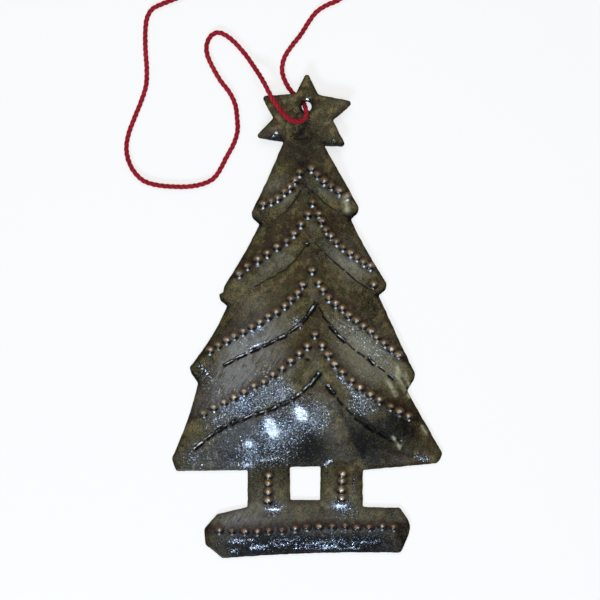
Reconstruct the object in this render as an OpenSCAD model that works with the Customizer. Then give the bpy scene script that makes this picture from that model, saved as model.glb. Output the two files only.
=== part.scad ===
// Tree ornament cut and hammered from drum steel, on a loop of twisted yarn.
// It lies face up on a table: +X to the right, +Y towards the star, +Z up.
// The origin is on the table, under the middle of the sheet. Lengths are in millimetres.

/* [Sheet] */
// Thickness of the steel
sheet_t = 1.0; // [0.7:0.1:1.4]
// Height of the lowest bough's crest above the flat rim
swell = 2.6; // [1.2:0.1:4]
// Height of the star's back above the table
star_lift = 2.0; // [1.8:0.1:4]

/* [Star] */
// Radius of the star's tips
star_tip_r = 12.4; // [10:0.1:15]
// Radius of the star's notches
star_notch_r = 7.5; // [6:0.1:9]
// Width of the blunt end of each tip
star_blunt = 0.9; // [0.4:0.1:1.4]
// Height of the star's centre above the neck
star_up = 6.4; // [5:0.1:8]
// Diameter of the hanging hole
hole_d = 3.2; // [2.8:0.1:4]
// Height of the hole above the star's centre
hole_up = 3.5; // [2:0.1:4.5]

/* [Boughs] */
// Width of the neck under the star
neck_w = 10.7; // [8:0.1:13]
// Width across the tips of the first bough, under the star
bough_1_w = 28.4; // [24:0.1:33]
// Width across the tips of the second bough
bough_2_w = 44.4; // [38:0.1:50]
// Width across the tips of the third bough
bough_3_w = 59.6; // [53:0.1:66]
// Width across the tips of the fourth, lowest bough
bough_4_w = 71.4; // [66:0.1:80]
// Height from the first bough's tips to the neck
bough_1_h = 17.3; // [15:0.1:20]
// Height from the second bough's tips to the first's
bough_2_h = 20.9; // [18:0.1:24]
// Height from the third bough's tips to the second's
bough_3_h = 21.6; // [18:0.1:25]
// Height from the fourth bough's tips to the third's
bough_4_h = 22.4; // [19:0.1:26]
// Height of the flat hem under the fourth bough's tips
hem_h = 3.9; // [3:0.1:5]
// How far each notch steps in from the tip above it
notch_in = 2.2; // [1:0.1:3.5]
// How far each notch lies below the tip above it
notch_drop = 3.4; // [2.4:0.1:5]
// Height of the cut end of each tip
tip_cut = 1.6; // [0.8:0.1:2.2]

/* [Trunk and base] */
// Width across both legs
trunk_w = 30.4; // [24:0.1:36]
// Height of the legs
leg_h = 9.8; // [8:0.1:13]
// Width of the window between the legs
window_w = 8.2; // [5:0.1:12]
// Height of the window between the legs
window_h = 8.8; // [7:0.1:10]
// Width of the base
base_w = 54.4; // [46:0.1:62]
// Height of the base
base_h = 13.5; // [11:0.1:16]
// Height that the legs are hammered up
leg_swell = 0.8; // [0.3:0.1:1.5]
// Height that the base is hammered up
base_swell = 1.4; // [0.5:0.1:2.5]

/* [Punch marks] */
// Diameter of a punched dot
dot_d = 2.0; // [1.4:0.1:2.2]
// Height of a punched dot
dot_h = 0.75; // [0.4:0.05:0.9]
// Width of a chisel stroke
stroke_w = 0.9; // [0.5:0.1:1.2]
// Depth of a chisel stroke
stroke_depth = 0.45; // [0.2:0.05:0.55]

/* [Cord] */
// Diameter of the yarn
cord_d = 1.4; // [1:0.1:1.6]
// Gap between the yarn and the star's face
cord_gap = 0.1; // [0.05:0.05:0.4]
// Diameter of the knot
knot_d = 4.2; // [3.4:0.1:5]
// Length of the knot
knot_l = 5.4; // [4.6:0.1:7]

/* [Hidden] */
$fn = 24;
steel = [0.24, 0.21, 0.16];
yarn = [0.62, 0.04, 0.09];

// Levels along Y, stacked so that the sheet's height is centred on the origin
top_tip_less = 0.6;
star_top_r = star_tip_r - top_tip_less;
sheet_h = base_h + leg_h + hem_h + bough_4_h + bough_3_h + bough_2_h + bough_1_h + star_up + star_top_r;
base_bottom_y = -sheet_h / 2;
base_top_y = base_bottom_y + base_h;
hem_y = base_top_y + leg_h;
tip_4_y = hem_y + hem_h;
tip_3_y = tip_4_y + bough_4_h;
tip_2_y = tip_3_y + bough_3_h;
tip_1_y = tip_2_y + bough_2_h;
neck_y = tip_1_y + bough_1_h;
star_shift = -0.5;
hole_shift = 0.4;
star_centre = [star_shift, neck_y + star_up];
hole_centre = star_centre + [hole_shift, hole_up];
star_face_z = star_lift + sheet_t;

// The cutter's unevenness: each bough leans to one side, its right tip stands higher or lower,
// its notches lie deeper or less deep, and its left and right edges are a little hollow
bough_w = [bough_1_w, bough_2_w, bough_3_w, bough_4_w];
tip_y = [tip_1_y, tip_2_y, tip_3_y, tip_4_y];
bough_shift = [-0.5, -1.1, -1.2, 0];
bough_tilt = [0.65, 1.35, -0.95, 0.75];
notch_sink = [-0.3, -0.3, 0.9];
edge_hollow = [[0.3, 0], [0.5, 0.4], [0.9, 0.1], [0.6, 0.1]];
tip_lean = 0.4;
neck_shift = -0.85;
neck_tilt = -0.5;
trunk_shift = -0.5;
last = len(bough_w) - 1;

// Star outline: angle of each tip and notch, and how far it is off the radius
star_top = [87.6, -top_tip_less];
star_upper = [[151.6, 0], [20.6, 0.4]];
star_lower = [[199.5, 0.8], [-33.5, -0.2]];
notch_top = [[110, -0.3], [62.7, -0.1]];
notch_side = [[177, 0.8], [-1.6, -0.2]];

// Dot rows: the apex's place on its bough, then sag and dip of the left and right arms
garland_x = [-0.4, 1.8, 1.2, 2.1];
garland_rise = [12.2, 22.9, 26.4, 32.2];
garland_bow = [[[3.2, 0], [0.8, 0]], [[0.9, 2.8], [1.8, 2.8]], [[0.6, 3.2], [0, 2.4]],
    [[0.9, 2.6], [3, 1.8]]];
garland_dots = [[7, 6], [9, 10], [13, 13], [12, 11]];
garland_end = [0.87, 0.83, 0.92, 0.53];
garland_from = [0.12, 0.07, 0.07, 0.06];
garland_to = 0.86;

// Chisel lines, the same way
chisel_x = [-0.8, 0.6, 2.6, 3.3];
chisel_rise = [7, 13.7, 17.8, 22];
chisel_bow = [[[2.3, 0.8], [0.8, 0]], [[0.3, 3], [1, 0]], [[-0.5, 3.2], [0.5, 2.6]],
    [[-1.8, 4.1], [4.3, 2]]];
chisel_strokes = [[3, 3], [5, 5], [7, 8], [10, 7]];
chisel_to = [[0.6, 0.7], [0.68, 0.84], [0.8, 0.88], [0.86, 0.68]];
chisel_from = 0.06;
stroke_share = 0.82;

// Heights along a bough, as shares of its crest
crest_share = [0.55, 0.75, 0.9, 1];
band_share = 0.72;
lip_share = 0.45;
valley_share = 0.3;
rise_share = 0.62;
panel_share = 0.8;
bough_fall = 2.4;

// Places of the rows between them: shares from a chisel line down to the next dots, from the dots down to
// their own chisel line, from the last chisel line down to the hem, and along the boughs' edges
rise_at = 0.35;
band_at = 0.4;
lip_at = 0.75;
panel_at = 0.5;
rise_end = [0.42, 0.42, 0.42, 0.25];
band_end = 0.74;
lip_end = 0.9;

// Hem, window and base: how far they reach past their levels, and how their corners are trimmed
hem_bow = 2.2;
hem_trim = [[1.1, 0.5], [-1.3, 1.1]];
window_in = 0.85;
base_trim = [[3.3, -2], [-2.8, -0.2]];
base_foot_trim = [[4.8, 0], [-2.4, 1.5]];
base_slope_trim = [[0.4, 0], [-1.9, 0]];
base_fall = 6;
base_crest = [0.43, 0.37, 0.36];
base_slope = [0.73, 0.66, 0.7];
base_slope_share = 0.6;
base_bow = [[0.8, 0], [0, 0]];
base_foot_bow = [[0, 0], [0.6, 0]];

// Grid of the sheet: columns each side of the middle, and the columns along the legs' edges
columns = 8;
leg_in = 1;
leg_out = 4;

function mix(a, b, t) = a + (b - a) * t;
function smooth(t) = let (c = min(1, max(0, t))) c * c * (3 - 2 * c);
function polar(spot, r) = star_centre + (r + spot[1]) * [cos(spot[0]), sin(spot[0])];
function across(spot) = [-sin(spot[0]), cos(spot[0])] * star_blunt / 2;

// The sheet bends up from just above the first bough's tips to just below the neck
bend_over_tips = 1;
bend_under_neck = 0.7;
bend_from_y = tip_1_y + bend_over_tips;
bend_to_y = neck_y - bend_under_neck;
function bend(y) = star_lift * smooth((y - bend_from_y) / (bend_to_y - bend_from_y));

// An arm hangs from its apex: sag is its drop at the middle, dip its extra drop near the apex
dip_scale = 256 / 27;
function arm(from, to, bow, t) =
    mix(from, to, t) - [0, bow[0] * 4 * t * (1 - t) + bow[1] * dip_scale * t * pow(1 - t, 3)];

// One row of the grid, with its front heights: two arms from an apex to the outline
function row(apex, ends, bows, height, fall) = [for (k = [-columns:columns]) let (
    s = abs(k) / columns,
    side = k < 0 ? 0 : 1,
    p = arm(apex, ends[side], bows[side], s)
    ) [p.x, p.y, sheet_t + bend(p.y) + height * (1 - pow(s, fall))]];
straight = [[0, 0], [0, 0]];
function straight_row(left, right) = row((left + right) / 2, [left, right], straight, 0, 1);

function neck(side) = [neck_shift + side * neck_w / 2, neck_y + side * neck_tilt];
function tip(i, side) = [bough_shift[i] + side * bough_w[i] / 2, tip_y[i] + side * bough_tilt[i]];
function tip_corner(i, side) = tip(i, side) - [side * tip_lean, tip_cut];
function notch(i, side) = tip(i, side) - [side * notch_in, notch_drop + notch_sink[i]];
function on_edge(i, side, share) = mix(i == 0 ? neck(side) : notch(i - 1, side), tip(i, side), share)
    - [side * edge_hollow[i][side < 0 ? 0 : 1] * 4 * share * (1 - share), 0];
function both(i, share) = [on_edge(i, -1, share), on_edge(i, 1, share)];

function garland_apex(i) = [garland_x[i], tip_y[i] + garland_rise[i]];
function chisel_apex(i) = [chisel_x[i], tip_y[i] + chisel_rise[i]];
function crest_h(i) = swell * crest_share[i];
function between(i, ends, share, height) = row(mix(garland_apex(i), chisel_apex(i), share), ends,
    mix(garland_bow[i], chisel_bow[i], share), crest_h(i) * height, bough_fall);

star_rows = [
    straight_row(polar(star_top, star_tip_r) + across(star_top),
        polar(star_top, star_tip_r) - across(star_top)),
    straight_row(polar(notch_top[0], star_notch_r), polar(notch_top[1], star_notch_r)),
    straight_row(polar(star_upper[0], star_tip_r) - across(star_upper[0]),
        polar(star_upper[1], star_tip_r) + across(star_upper[1])),
    straight_row(polar(star_upper[0], star_tip_r) + across(star_upper[0]),
        polar(star_upper[1], star_tip_r) - across(star_upper[1])),
    straight_row(polar(notch_side[0], star_notch_r), polar(notch_side[1], star_notch_r)),
    straight_row(polar(star_lower[0], star_tip_r) - across(star_lower[0]),
        polar(star_lower[1], star_tip_r) + across(star_lower[1])),
    straight_row(polar(star_lower[0], star_tip_r) + across(star_lower[0]),
        polar(star_lower[1], star_tip_r) - across(star_lower[1])),
    straight_row(neck(-1), neck(1))];

// Every bough rises to its dot row, slopes down over a band to its chisel line, and rises to the next
function rise_row(i) = let (above = i == 0 ? (neck(-1) + neck(1)) / 2 : chisel_apex(i - 1))
    row(mix(above, garland_apex(i), rise_at), both(i, rise_end[i]), i == 0 ? straight : chisel_bow[i - 1],
        crest_h(i) * rise_share, bough_fall);
function upper_bough(i) = [
    rise_row(i),
    between(i, both(i, garland_end[i]), 0, 1),
    between(i, [tip(i, -1), tip(i, 1)], band_at, band_share),
    between(i, [tip_corner(i, -1), tip_corner(i, 1)], lip_at, lip_share),
    between(i, [notch(i, -1), notch(i, 1)], 1, valley_share)];
hem_top = [trunk_shift, hem_y + hem_bow];
last_tips = [tip(last, -1), tip(last, 1)];
hem_ends = [tip_corner(last, -1), tip_corner(last, 1)];
lowest_bough = [
    rise_row(last),
    between(last, both(last, garland_end[last]), 0, 1),
    between(last, both(last, band_end), band_at, band_share),
    between(last, both(last, lip_end), lip_at, lip_share),
    between(last, last_tips, 1, valley_share),
    row(mix(chisel_apex(last), hem_top, panel_at), mix(last_tips, hem_ends, panel_at),
        mix(chisel_bow[last], straight, panel_at), crest_h(last) * panel_share, bough_fall),
    row(hem_top, hem_ends, straight, 0, 1)];

// Rows across the legs have set columns on the edges of the window and the legs
leg_steps = 3;
function leg_height(share) = leg_swell * min(1, leg_steps * share, leg_steps * (1 - share));
function leg_row(window_y, foot_y, ends, lift) = [for (k = [-columns:columns]) let (
    side = sign(k),
    c = abs(k),
    centre = [trunk_shift, window_y],
    inner = [trunk_shift + side * window_w / 2, window_y],
    outer = [trunk_shift + side * trunk_w / 2, foot_y],
    p = c <= leg_in ? mix(centre, inner, c / leg_in)
        : c <= leg_out ? mix(inner, outer, (c - leg_in) / (leg_out - leg_in))
        : mix(outer, ends[k < 0 ? 0 : 1], (c - leg_out) / (columns - leg_out))
    ) [p.x, p.y, sheet_t + (c > leg_in && c < leg_out ? lift : 0)]];
window_top_y = hem_y + window_in;
hem_bottom_ends = [for (side = [0, 1]) last_tips[side] + hem_trim[side] - [0, hem_h]];
base_top_ends = [for (side = [0, 1]) [(side - 0.5) * base_w, base_top_y] + base_trim[side]];
leg_rows = [for (j = [0:leg_steps]) let (share = j / leg_steps) leg_row(window_top_y - window_h * share,
    mix(hem_y, base_top_y, share), mix(hem_bottom_ends, base_top_ends, share), leg_height(share))];

// The base is a bar with its crest along the dots
function base_level(share) = base_top_y - base_h * share;
base_apex = [0, base_level(base_crest[1])];
base_ends = [[-base_w / 2, base_level(base_crest[0])], [base_w / 2, base_level(base_crest[2])]];
base_slope_ends = [for (side = [0, 1])
    [(side - 0.5) * base_w, base_level(base_slope[2 * side])] + base_slope_trim[side]];
base_foot_ends = [for (side = [0, 1]) [(side - 0.5) * base_w, base_bottom_y] + base_foot_trim[side]];
base_rows = [
    row(base_apex, base_ends, base_bow, base_swell, base_fall),
    row([0, base_level(base_slope[1])], base_slope_ends, straight, base_swell * base_slope_share,
        base_fall),
    row([0, base_foot_ends[1].y], base_foot_ends, base_foot_bow, 0, 1)];

bough_rows = concat(upper_bough(0), upper_bough(1), upper_bough(2), lowest_bough);
rows = concat(star_rows, bough_rows, leg_rows, base_rows);
first_leg_row = len(star_rows) + len(bough_rows);
last_leg_row = first_leg_row + len(leg_rows) - 1;

// A cell of the grid is metal, unless it is the window or the air beside the legs
function metal(r, k) = r >= 0 && r < len(rows) - 1 && k >= -columns && k < columns
    && (r < first_leg_row || r >= last_leg_row || (k >= leg_in && k < leg_out)
        || (k >= -leg_out && k < -leg_in));
function spot(r, k, back) = 2 * (r * (2 * columns + 1) + k + columns) + back;
function wall(r1, k1, r2, k2) = [spot(r1, k1, 0), spot(r2, k2, 0), spot(r2, k2, 1), spot(r1, k1, 1)];
function skin(r, k, back) = let (
    a = spot(r, k, back), b = spot(r, k + 1, back), c = spot(r + 1, k + 1, back), d = spot(r + 1, k, back))
    k < 0 ? [[a, b, c], [a, c, d]] : [[a, b, d], [b, c, d]];
function turned(faces) = [for (f = faces) [f[2], f[1], f[0]]];
function cell(r, k) = concat(
    skin(r, k, 0),
    turned(skin(r, k, 1)),
    metal(r - 1, k) ? [] : [wall(r, k + 1, r, k)],
    metal(r + 1, k) ? [] : [wall(r + 1, k, r + 1, k + 1)],
    metal(r, k - 1) ? [] : [wall(r, k, r + 1, k)],
    metal(r, k + 1) ? [] : [wall(r + 1, k + 1, r, k + 1)]);

// Hammered sheet with an even thickness
module hammered_sheet() {
    points = [for (r = rows) for (p = r) for (down = [0, sheet_t]) [p.x, p.y, p.z - down]];
    faces = [for (r = [0:len(rows) - 2]) for (k = [-columns:columns - 1])
        if (metal(r, k)) each cell(r, k)];
    polyhedron(points, faces, convexity = 10);
}

// Shares along an arm that divide its stretch into pieces of even length
arm_steps = 24;
function arm_table(from, to, bow, span) = [for (j = 0, run = 0, t = span[0]; j <= arm_steps;
    j = j + 1,
    ahead = mix(span[0], span[1], j / arm_steps),
    run = run + norm(arm(from, to, bow, ahead) - arm(from, to, bow, t)),
    t = ahead) [run, t]];
function even(from, to, bow, span, pieces) = let (table = arm_table(from, to, bow, span))
    [for (j = [0:pieces]) lookup(table[arm_steps][0] * j / pieces, table)];

// Places of the punched dots on the front of the sheet
function on_arm(from, to, bow, t, height, fall) = let (p = arm(from, to, bow, t))
    [p.x, p.y, sheet_t + bend(p.y) + height * (1 - pow(abs(t), fall))];
bough_spots = [for (i = [0:last]) for (side = [0, 1]) let (
    to = both(i, garland_end[i])[side], bow = garland_bow[i][side], count = garland_dots[i][side])
    for (t = even(garland_apex(i), to, bow, [garland_from[i], garland_to], count - 1))
        on_arm(garland_apex(i), to, bow, t, crest_h(i), bough_fall)];
apex_spots = [for (i = [1:last]) on_arm(garland_apex(i), garland_apex(i), [0, 0], 0, crest_h(i), 1)];
leg_dots = 4;
leg_dot_from = [0.14, 0.08];
leg_dot_step = 0.22;
leg_spots = [for (side = [0, 1]) for (j = [0:leg_dots - 1]) let (s = leg_dot_from[side] + leg_dot_step * j)
    [trunk_shift + (side - 0.5) * (trunk_w + window_w) / 2, hem_y - leg_h * s, sheet_t + leg_height(s)]];
base_side_dots = 7;
base_dot_reach = 0.85;
base_spots = [for (side = [0, 1]) for (j = [side:base_side_dots])
    on_arm(base_apex, base_ends[side], base_bow[side], base_dot_reach * j / base_side_dots,
        base_swell, base_fall)];
dot_spots = concat(bough_spots, apex_spots, leg_spots, base_spots);

// A dot is a dome on the front, with the punch's dimple behind it
dot_r = (pow(dot_d / 2, 2) + pow(dot_h, 2)) / (2 * dot_h);
dimple_less = 0.25;
dimple_r = dot_r - dimple_less;
module dome() translate([0, 0, dot_h - dot_r]) sphere(dot_r);
module dimple() translate([0, 0, -sheet_t]) sphere(dimple_r);

// A chisel line is a row of V cuts, each laid between two points of its arm
stroke_r = stroke_w / 2 + stroke_depth;
module stroke(from, to) {
    ahead = to - from;
    translate((from + to) / 2 + [0, 0, stroke_w / 2])
        rotate([0, 90, atan2(ahead.y, ahead.x)])
            cylinder(h = norm(ahead) * stroke_share, r = stroke_r, center = true, $fn = 4);
}
module chisel_line(i, side) {
    to = i < last ? notch(i, side * 2 - 1) : tip(i, side * 2 - 1);
    bow = chisel_bow[i][side];
    shares = even(chisel_apex(i), to, bow, [chisel_from, chisel_to[i][side]], chisel_strokes[i][side]);
    spots = [for (t = shares) on_arm(chisel_apex(i), to, bow, t, crest_h(i) * valley_share, bough_fall)];
    for (j = [1:len(spots) - 1]) stroke(spots[j - 1], spots[j]);
}

module tree_sheet() {
    color(steel) difference() {
        union() {
            hammered_sheet();
            for (p = dot_spots) translate(p) dome();
        }
        for (p = dot_spots) translate(p) dimple();
        for (i = [0:last]) for (side = [0, 1]) chisel_line(i, side);
        translate([hole_centre.x, hole_centre.y, star_face_z - sheet_t / 2])
            cylinder(h = 3 * sheet_t, d = hole_d, center = true);
    }
}

// Route of the yarn: x, y and a share from the table, 0, up to the star's face, 1
front_route = [[-0.55, 55.5, 0.58], [-0.35, 54.8, 0.85], [-0.2, 54.1, 1], [-0.2, 53.3, 1.07],
    [-0.6, 52.3, 1.09], [-1.7, 51.5, 1.06], [-3.2, 51.4, 1.02], [-4.8, 52.1, 1], [-6.4, 53.6, 1],
    [-8.2, 56, 1], [-9.8, 58.6, 1],
    [-11.2, 61.4, 0.97], [-12.8, 64.2, 0.62], [-14.6, 67, 0.18], [-16.6, 69.8, 0.02], [-19.4, 72.9, 0],
    [-22, 74.8, 0], [-24, 75.2, 0], [-25.7, 74, 0], [-26.6, 71.6, 0], [-26.2, 68.8, 0], [-24.7, 65.6, 0],
    [-22.8, 62.4, 0], [-20.5, 59.4, 0], [-19, 56.2, 0], [-18.5, 52.6, 0], [-18.4, 49.2, 0], [-19.4, 45.8, 0],
    [-21.3, 42.3, 0], [-23, 39, 0], [-24.8, 36.6, 0], [-27.6, 35.2, 0], [-31.4, 34.5, 0], [-35.6, 34.5, 0],
    [-39.6, 34.9, 0], [-43, 35.9, 0], [-45.4, 38, 0], [-47.1, 41, 0], [-47.8, 44.6, 0], [-47.2, 48.4, 0],
    [-45.6, 52.8, 0], [-43.9, 57, 0], [-42.6, 61.2, 0], [-42.4, 65.6, 0], [-42.7, 70.2, 0], [-42.8, 74.8, 0],
    [-42.4, 78.8, 0], [-41, 81.4, 0], [-38.4, 82.8, 0], [-34.8, 84.2, 0], [-30, 86.2, 0], [-24, 88.4, 0],
    [-18, 90, 0], [-12, 91.2, 0], [-6, 92, 0], [0, 92.4, 0], [6, 92.4, 0.02], [11, 92.2, 0.1],
    [15.6, 92, 0.28]];
back_route = [[-0.55, 55.5, 0.58], [-0.65, 56, 0.3], [-0.9, 56.6, 0.14], [-1.3, 57.2, 0.05], [-2, 57.9, 0],
    [-3.4, 58.9, 0], [-5, 60.9, 0], [-6.2, 63.4, 0], [-6.6, 66, 0], [-5.8, 69, 0], [-3.8, 72, 0],
    [-1.5, 74.9, 0], [0.3, 77.8, 0], [2.4, 80.6, 0], [5.2, 82.5, 0], [8.2, 83.8, 0], [11, 86, 0.05],
    [13.4, 88.6, 0.15], [15.8, 91, 0.28]];
knot_centre = [18, 92, knot_d / 2];
knot_round = 0.4;
tail_routes = [[[19.8, 92.2, 0.28], [22.6, 92.6, 0.1], [25.4, 93.6, 0], [28, 95.4, 0], [29.8, 97.8, 0]],
    [[19.6, 91.4, 0.28], [22.2, 90.4, 0.1], [25, 89.8, 0], [28, 90, 0], [30.8, 90.8, 0]]];
cord_z = cord_d / 2;
cord_top_z = star_face_z + cord_gap + cord_d / 2;
function lay(route) = [for (p = route) [p.x, p.y, mix(cord_z, cord_top_z, p[2])]];

// Tube along a route, with a ring at each point. The point before it gives the first ring its heading
tube_sides = 8;
function heading(path, before, i) = let (
    d = path[min(i + 1, len(path) - 1)] - (i == 0 ? before : path[i - 1])) d / norm(d);
function ring(path, before, i) = let (
    ahead = heading(path, before, i),
    side = [ahead.y, -ahead.x, 0] / norm([ahead.x, ahead.y]),
    up = cross(side, ahead))
    [for (a = [0:tube_sides - 1]) let (turn = (a + 0.5) * 360 / tube_sides)
        path[i] + cord_d / 2 * (cos(turn) * side + sin(turn) * up)];
module tube(path, before) {
    n = len(path);
    points = [for (i = [0:n - 1]) each ring(path, before, i)];
    skin = [for (i = [0:n - 2]) for (a = [0:tube_sides - 1]) let (
        b = (a + 1) % tube_sides, p = i * tube_sides, q = p + tube_sides)
        each [[p + a, p + b, q + b], [p + a, q + b, q + a]]];
    near = [for (a = [tube_sides - 1:-1:0]) a];
    far = [for (a = [0:tube_sides - 1]) (n - 1) * tube_sides + a];
    polyhedron(points, concat(skin, [near, far]), convexity = 10);
}

module cord_front_strand() {
    color(yarn) tube(lay(front_route), lay(back_route)[1]);
}

module cord_back_strand() {
    color(yarn) tube(lay(back_route), lay(front_route)[1]);
}

// The knot is a rounded barrel with the two tails of the yarn
module barrel() {
    round_r = knot_d * knot_round;
    rotate_extrude() intersection() {
        translate([0, -knot_l]) square([knot_d, 2 * knot_l]);
        hull() for (x = [-1, 1]) for (y = [-1, 1])
            translate([x * (knot_d / 2 - round_r), y * (knot_l / 2 - round_r)]) circle(round_r);
    }
}

module cord_knot() {
    color(yarn) {
        translate(knot_centre) rotate([0, 90, 0]) barrel();
        for (route = tail_routes) tube(lay(route), lay(route)[0]);
    }
}

tree_sheet();
cord_front_strand();
cord_back_strand();
cord_knot();
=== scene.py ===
import math
from functools import partial

import bpy
import numpy as np
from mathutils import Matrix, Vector, geometry, noise


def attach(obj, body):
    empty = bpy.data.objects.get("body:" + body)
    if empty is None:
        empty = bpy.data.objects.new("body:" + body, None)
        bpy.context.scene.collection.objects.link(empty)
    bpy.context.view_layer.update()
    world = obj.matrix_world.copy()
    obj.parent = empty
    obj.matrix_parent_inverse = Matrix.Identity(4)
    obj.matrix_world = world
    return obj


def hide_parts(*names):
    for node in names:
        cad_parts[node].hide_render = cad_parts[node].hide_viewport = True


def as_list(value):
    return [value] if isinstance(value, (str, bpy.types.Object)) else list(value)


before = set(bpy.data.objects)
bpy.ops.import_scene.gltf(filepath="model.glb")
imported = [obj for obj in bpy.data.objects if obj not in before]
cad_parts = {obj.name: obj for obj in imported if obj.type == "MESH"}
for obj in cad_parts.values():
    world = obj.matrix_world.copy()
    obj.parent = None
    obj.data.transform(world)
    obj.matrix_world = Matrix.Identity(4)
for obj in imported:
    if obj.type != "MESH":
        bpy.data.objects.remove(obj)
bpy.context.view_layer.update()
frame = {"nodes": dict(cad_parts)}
scene = bpy.context.scene
mm = 0.001
rng = np.random.default_rng(7)
print("frame loaded:", ", ".join(frame["nodes"]))


# Node trees, for shapes and for materials

class Wire:
    # an output socket, whose sums add Math nodes to its tree
    def __init__(self, socket):
        self.socket = socket
        self.tree = socket.id_data

    @staticmethod
    def node(tree, kind, inputs=None, out=0, **settings):
        made = tree.nodes.new(kind)
        for name, value in settings.items():
            setattr(made, name, value)
        connect(tree, made.inputs, inputs or {})
        return Wire(made.outputs[out])

    def sibling(self, name):
        return Wire(self.socket.node.outputs[name])

    def math(self, operation, *values):
        return Wire.node(self.tree, "ShaderNodeMath", dict(enumerate(values)), operation=operation)

    def __add__(self, other):
        return self.math("ADD", self, other)

    def __sub__(self, other):
        return self.math("SUBTRACT", self, other)

    def __rsub__(self, other):
        return self.math("SUBTRACT", other, self)

    def __mul__(self, other):
        return self.math("MULTIPLY", self, other)

    def __truediv__(self, other):
        return self.math("DIVIDE", self, other)

    def __rtruediv__(self, other):
        return self.math("DIVIDE", other, self)

    def __pow__(self, other):
        return self.math("POWER", self, other)

    def __abs__(self):
        return self.math("ABSOLUTE", self)

    # sums and products are the same either way round
    __radd__ = __add__
    __rmul__ = __mul__

    def larger(self, other):
        return self.math("MAXIMUM", self, other)

    def vector(self, operation, *others, out=0):
        return Wire.node(self.tree, "ShaderNodeVectorMath", dict(enumerate((self, *others))), out,
                         operation=operation)

    def scaled(self, factor):
        return Wire.node(self.tree, "ShaderNodeVectorMath", {0: self, "Scale": factor}, operation="SCALE")

    def part(self, axis):
        return Wire.node(self.tree, "ShaderNodeSeparateXYZ", {0: self}, axis)

    def clouds(self, scale, detail, roughness=0.5):
        # noise at this place
        return Wire.node(self.tree, "ShaderNodeTexNoise",
                         {"Vector": self, "Scale": scale, "Detail": detail, "Roughness": roughness})

    def ramp(self, low, high):
        # 0 at low, 1 at high, with eased ends
        return Wire.node(self.tree, "ShaderNodeMapRange", {0: self, 1: low, 2: high},
                         interpolation_type="SMOOTHSTEP")

    def clamp(self):
        return Wire.node(self.tree, "ShaderNodeClamp", {0: self})


def connect(tree, sockets, values):
    # links wires, and sets plain values
    for key, value in values.items():
        if isinstance(value, Wire):
            tree.links.new(value.socket, sockets[key])
        else:
            sockets[key].default_value = value


def blendColour(factor, first, second):
    # colours given as three numbers or as wires
    whole = [c if isinstance(c, Wire) else (*c, 1) for c in (first, second)]
    return Wire.node(factor.tree, "ShaderNodeMix", {0: factor, 6: whole[0], 7: whole[1]}, 2, data_type="RGBA")


def mark(tree, name, out="Fac"):
    # what the mesh carries at its points
    return Wire.node(tree, "ShaderNodeAttribute", out=out, attribute_name=name)


def store(shape, name, value, kind="FLOAT"):
    return Wire.node(shape.tree, "GeometryNodeStoreNamedAttribute",
                     {"Geometry": shape, "Name": name, "Value": value}, data_type=kind)


def joinAll(shapes):
    made = shapes[0].tree.nodes.new("GeometryNodeJoinGeometry")
    for shape in shapes:
        shape.tree.links.new(shape.socket, made.inputs[0])
    return Wire(made.outputs[0])


def shapeTree(name, inputs):
    # an empty Geometry Nodes tree with named inputs, its input wires and its identifiers
    tree = bpy.data.node_groups.new(name, "GeometryNodeTree")
    tree.interface.new_socket("Geometry", in_out="OUTPUT", socket_type="NodeSocketGeometry")
    kinds = {"Geometry": "Geometry", "Dots": "Object", "Strokes": "Object", "Finish": "Material",
             "Seed": "Int"}
    sockets = {key: tree.interface.new_socket(key, in_out="INPUT",
                                              socket_type="NodeSocket" + kinds.get(key, "Float"))
               for key in ["Geometry", *inputs]}
    group = tree.nodes.new("NodeGroupInput")
    wires = {key: Wire(group.outputs[key]) for key in sockets}
    return tree, wires, {key: socket.identifier for key, socket in sockets.items()}


def closeTree(tree, shape, finish):
    real = Wire.node(tree, "GeometryNodeRealizeInstances", {0: shape})
    painted = Wire.node(tree, "GeometryNodeSetMaterial", {"Geometry": real, "Material": finish})
    end = tree.nodes.new("NodeGroupOutput")
    tree.links.new(painted.socket, end.inputs[0])


def runTree(source, name, tree, names, values):
    # runs the tree on an object and leaves a plain mesh under the piece's name
    modifier = source.modifiers.new(name, "NODES")
    modifier.node_group = tree
    for key, value in values.items():
        modifier[names[key]] = value
    mesh = bpy.data.meshes.new_from_object(source.evaluated_get(bpy.context.evaluated_depsgraph_get()))
    source.modifiers.remove(modifier)
    bpy.data.objects.remove(source)
    mesh.name = name
    return addObject(name, mesh)


def addObject(name, data):
    made = bpy.data.objects.new(name, data)
    scene.collection.objects.link(made)
    return made


def newMaterial(name):
    made = bpy.data.materials.new(name)
    made.use_nodes = True
    tree = made.node_tree
    return made, tree, tree.nodes["Principled BSDF"]


# Camera, straight above the ornament, with the star at the top of the picture

cameraSet = {
    "lens": 100,  # millimetres
    "sensor": 36,  # millimetres
    "pictureWidth": 159.0,  # millimetres of table across the picture
    "centre": (-1.86, 4.5),  # millimetres, the table's point in the middle of the picture
}


def makeCamera(s):
    data = bpy.data.cameras.new("camera")
    data.lens = s["lens"]
    data.sensor_width = s["sensor"]
    made = addObject("camera", data)
    height = s["pictureWidth"] * s["lens"] / s["sensor"]
    made.location = Vector((*s["centre"], height)) * mm
    scene.camera = made


makeCamera(cameraSet)
print("camera made")


# Yarn: three plies twisted together, with a little fuzz

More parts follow.
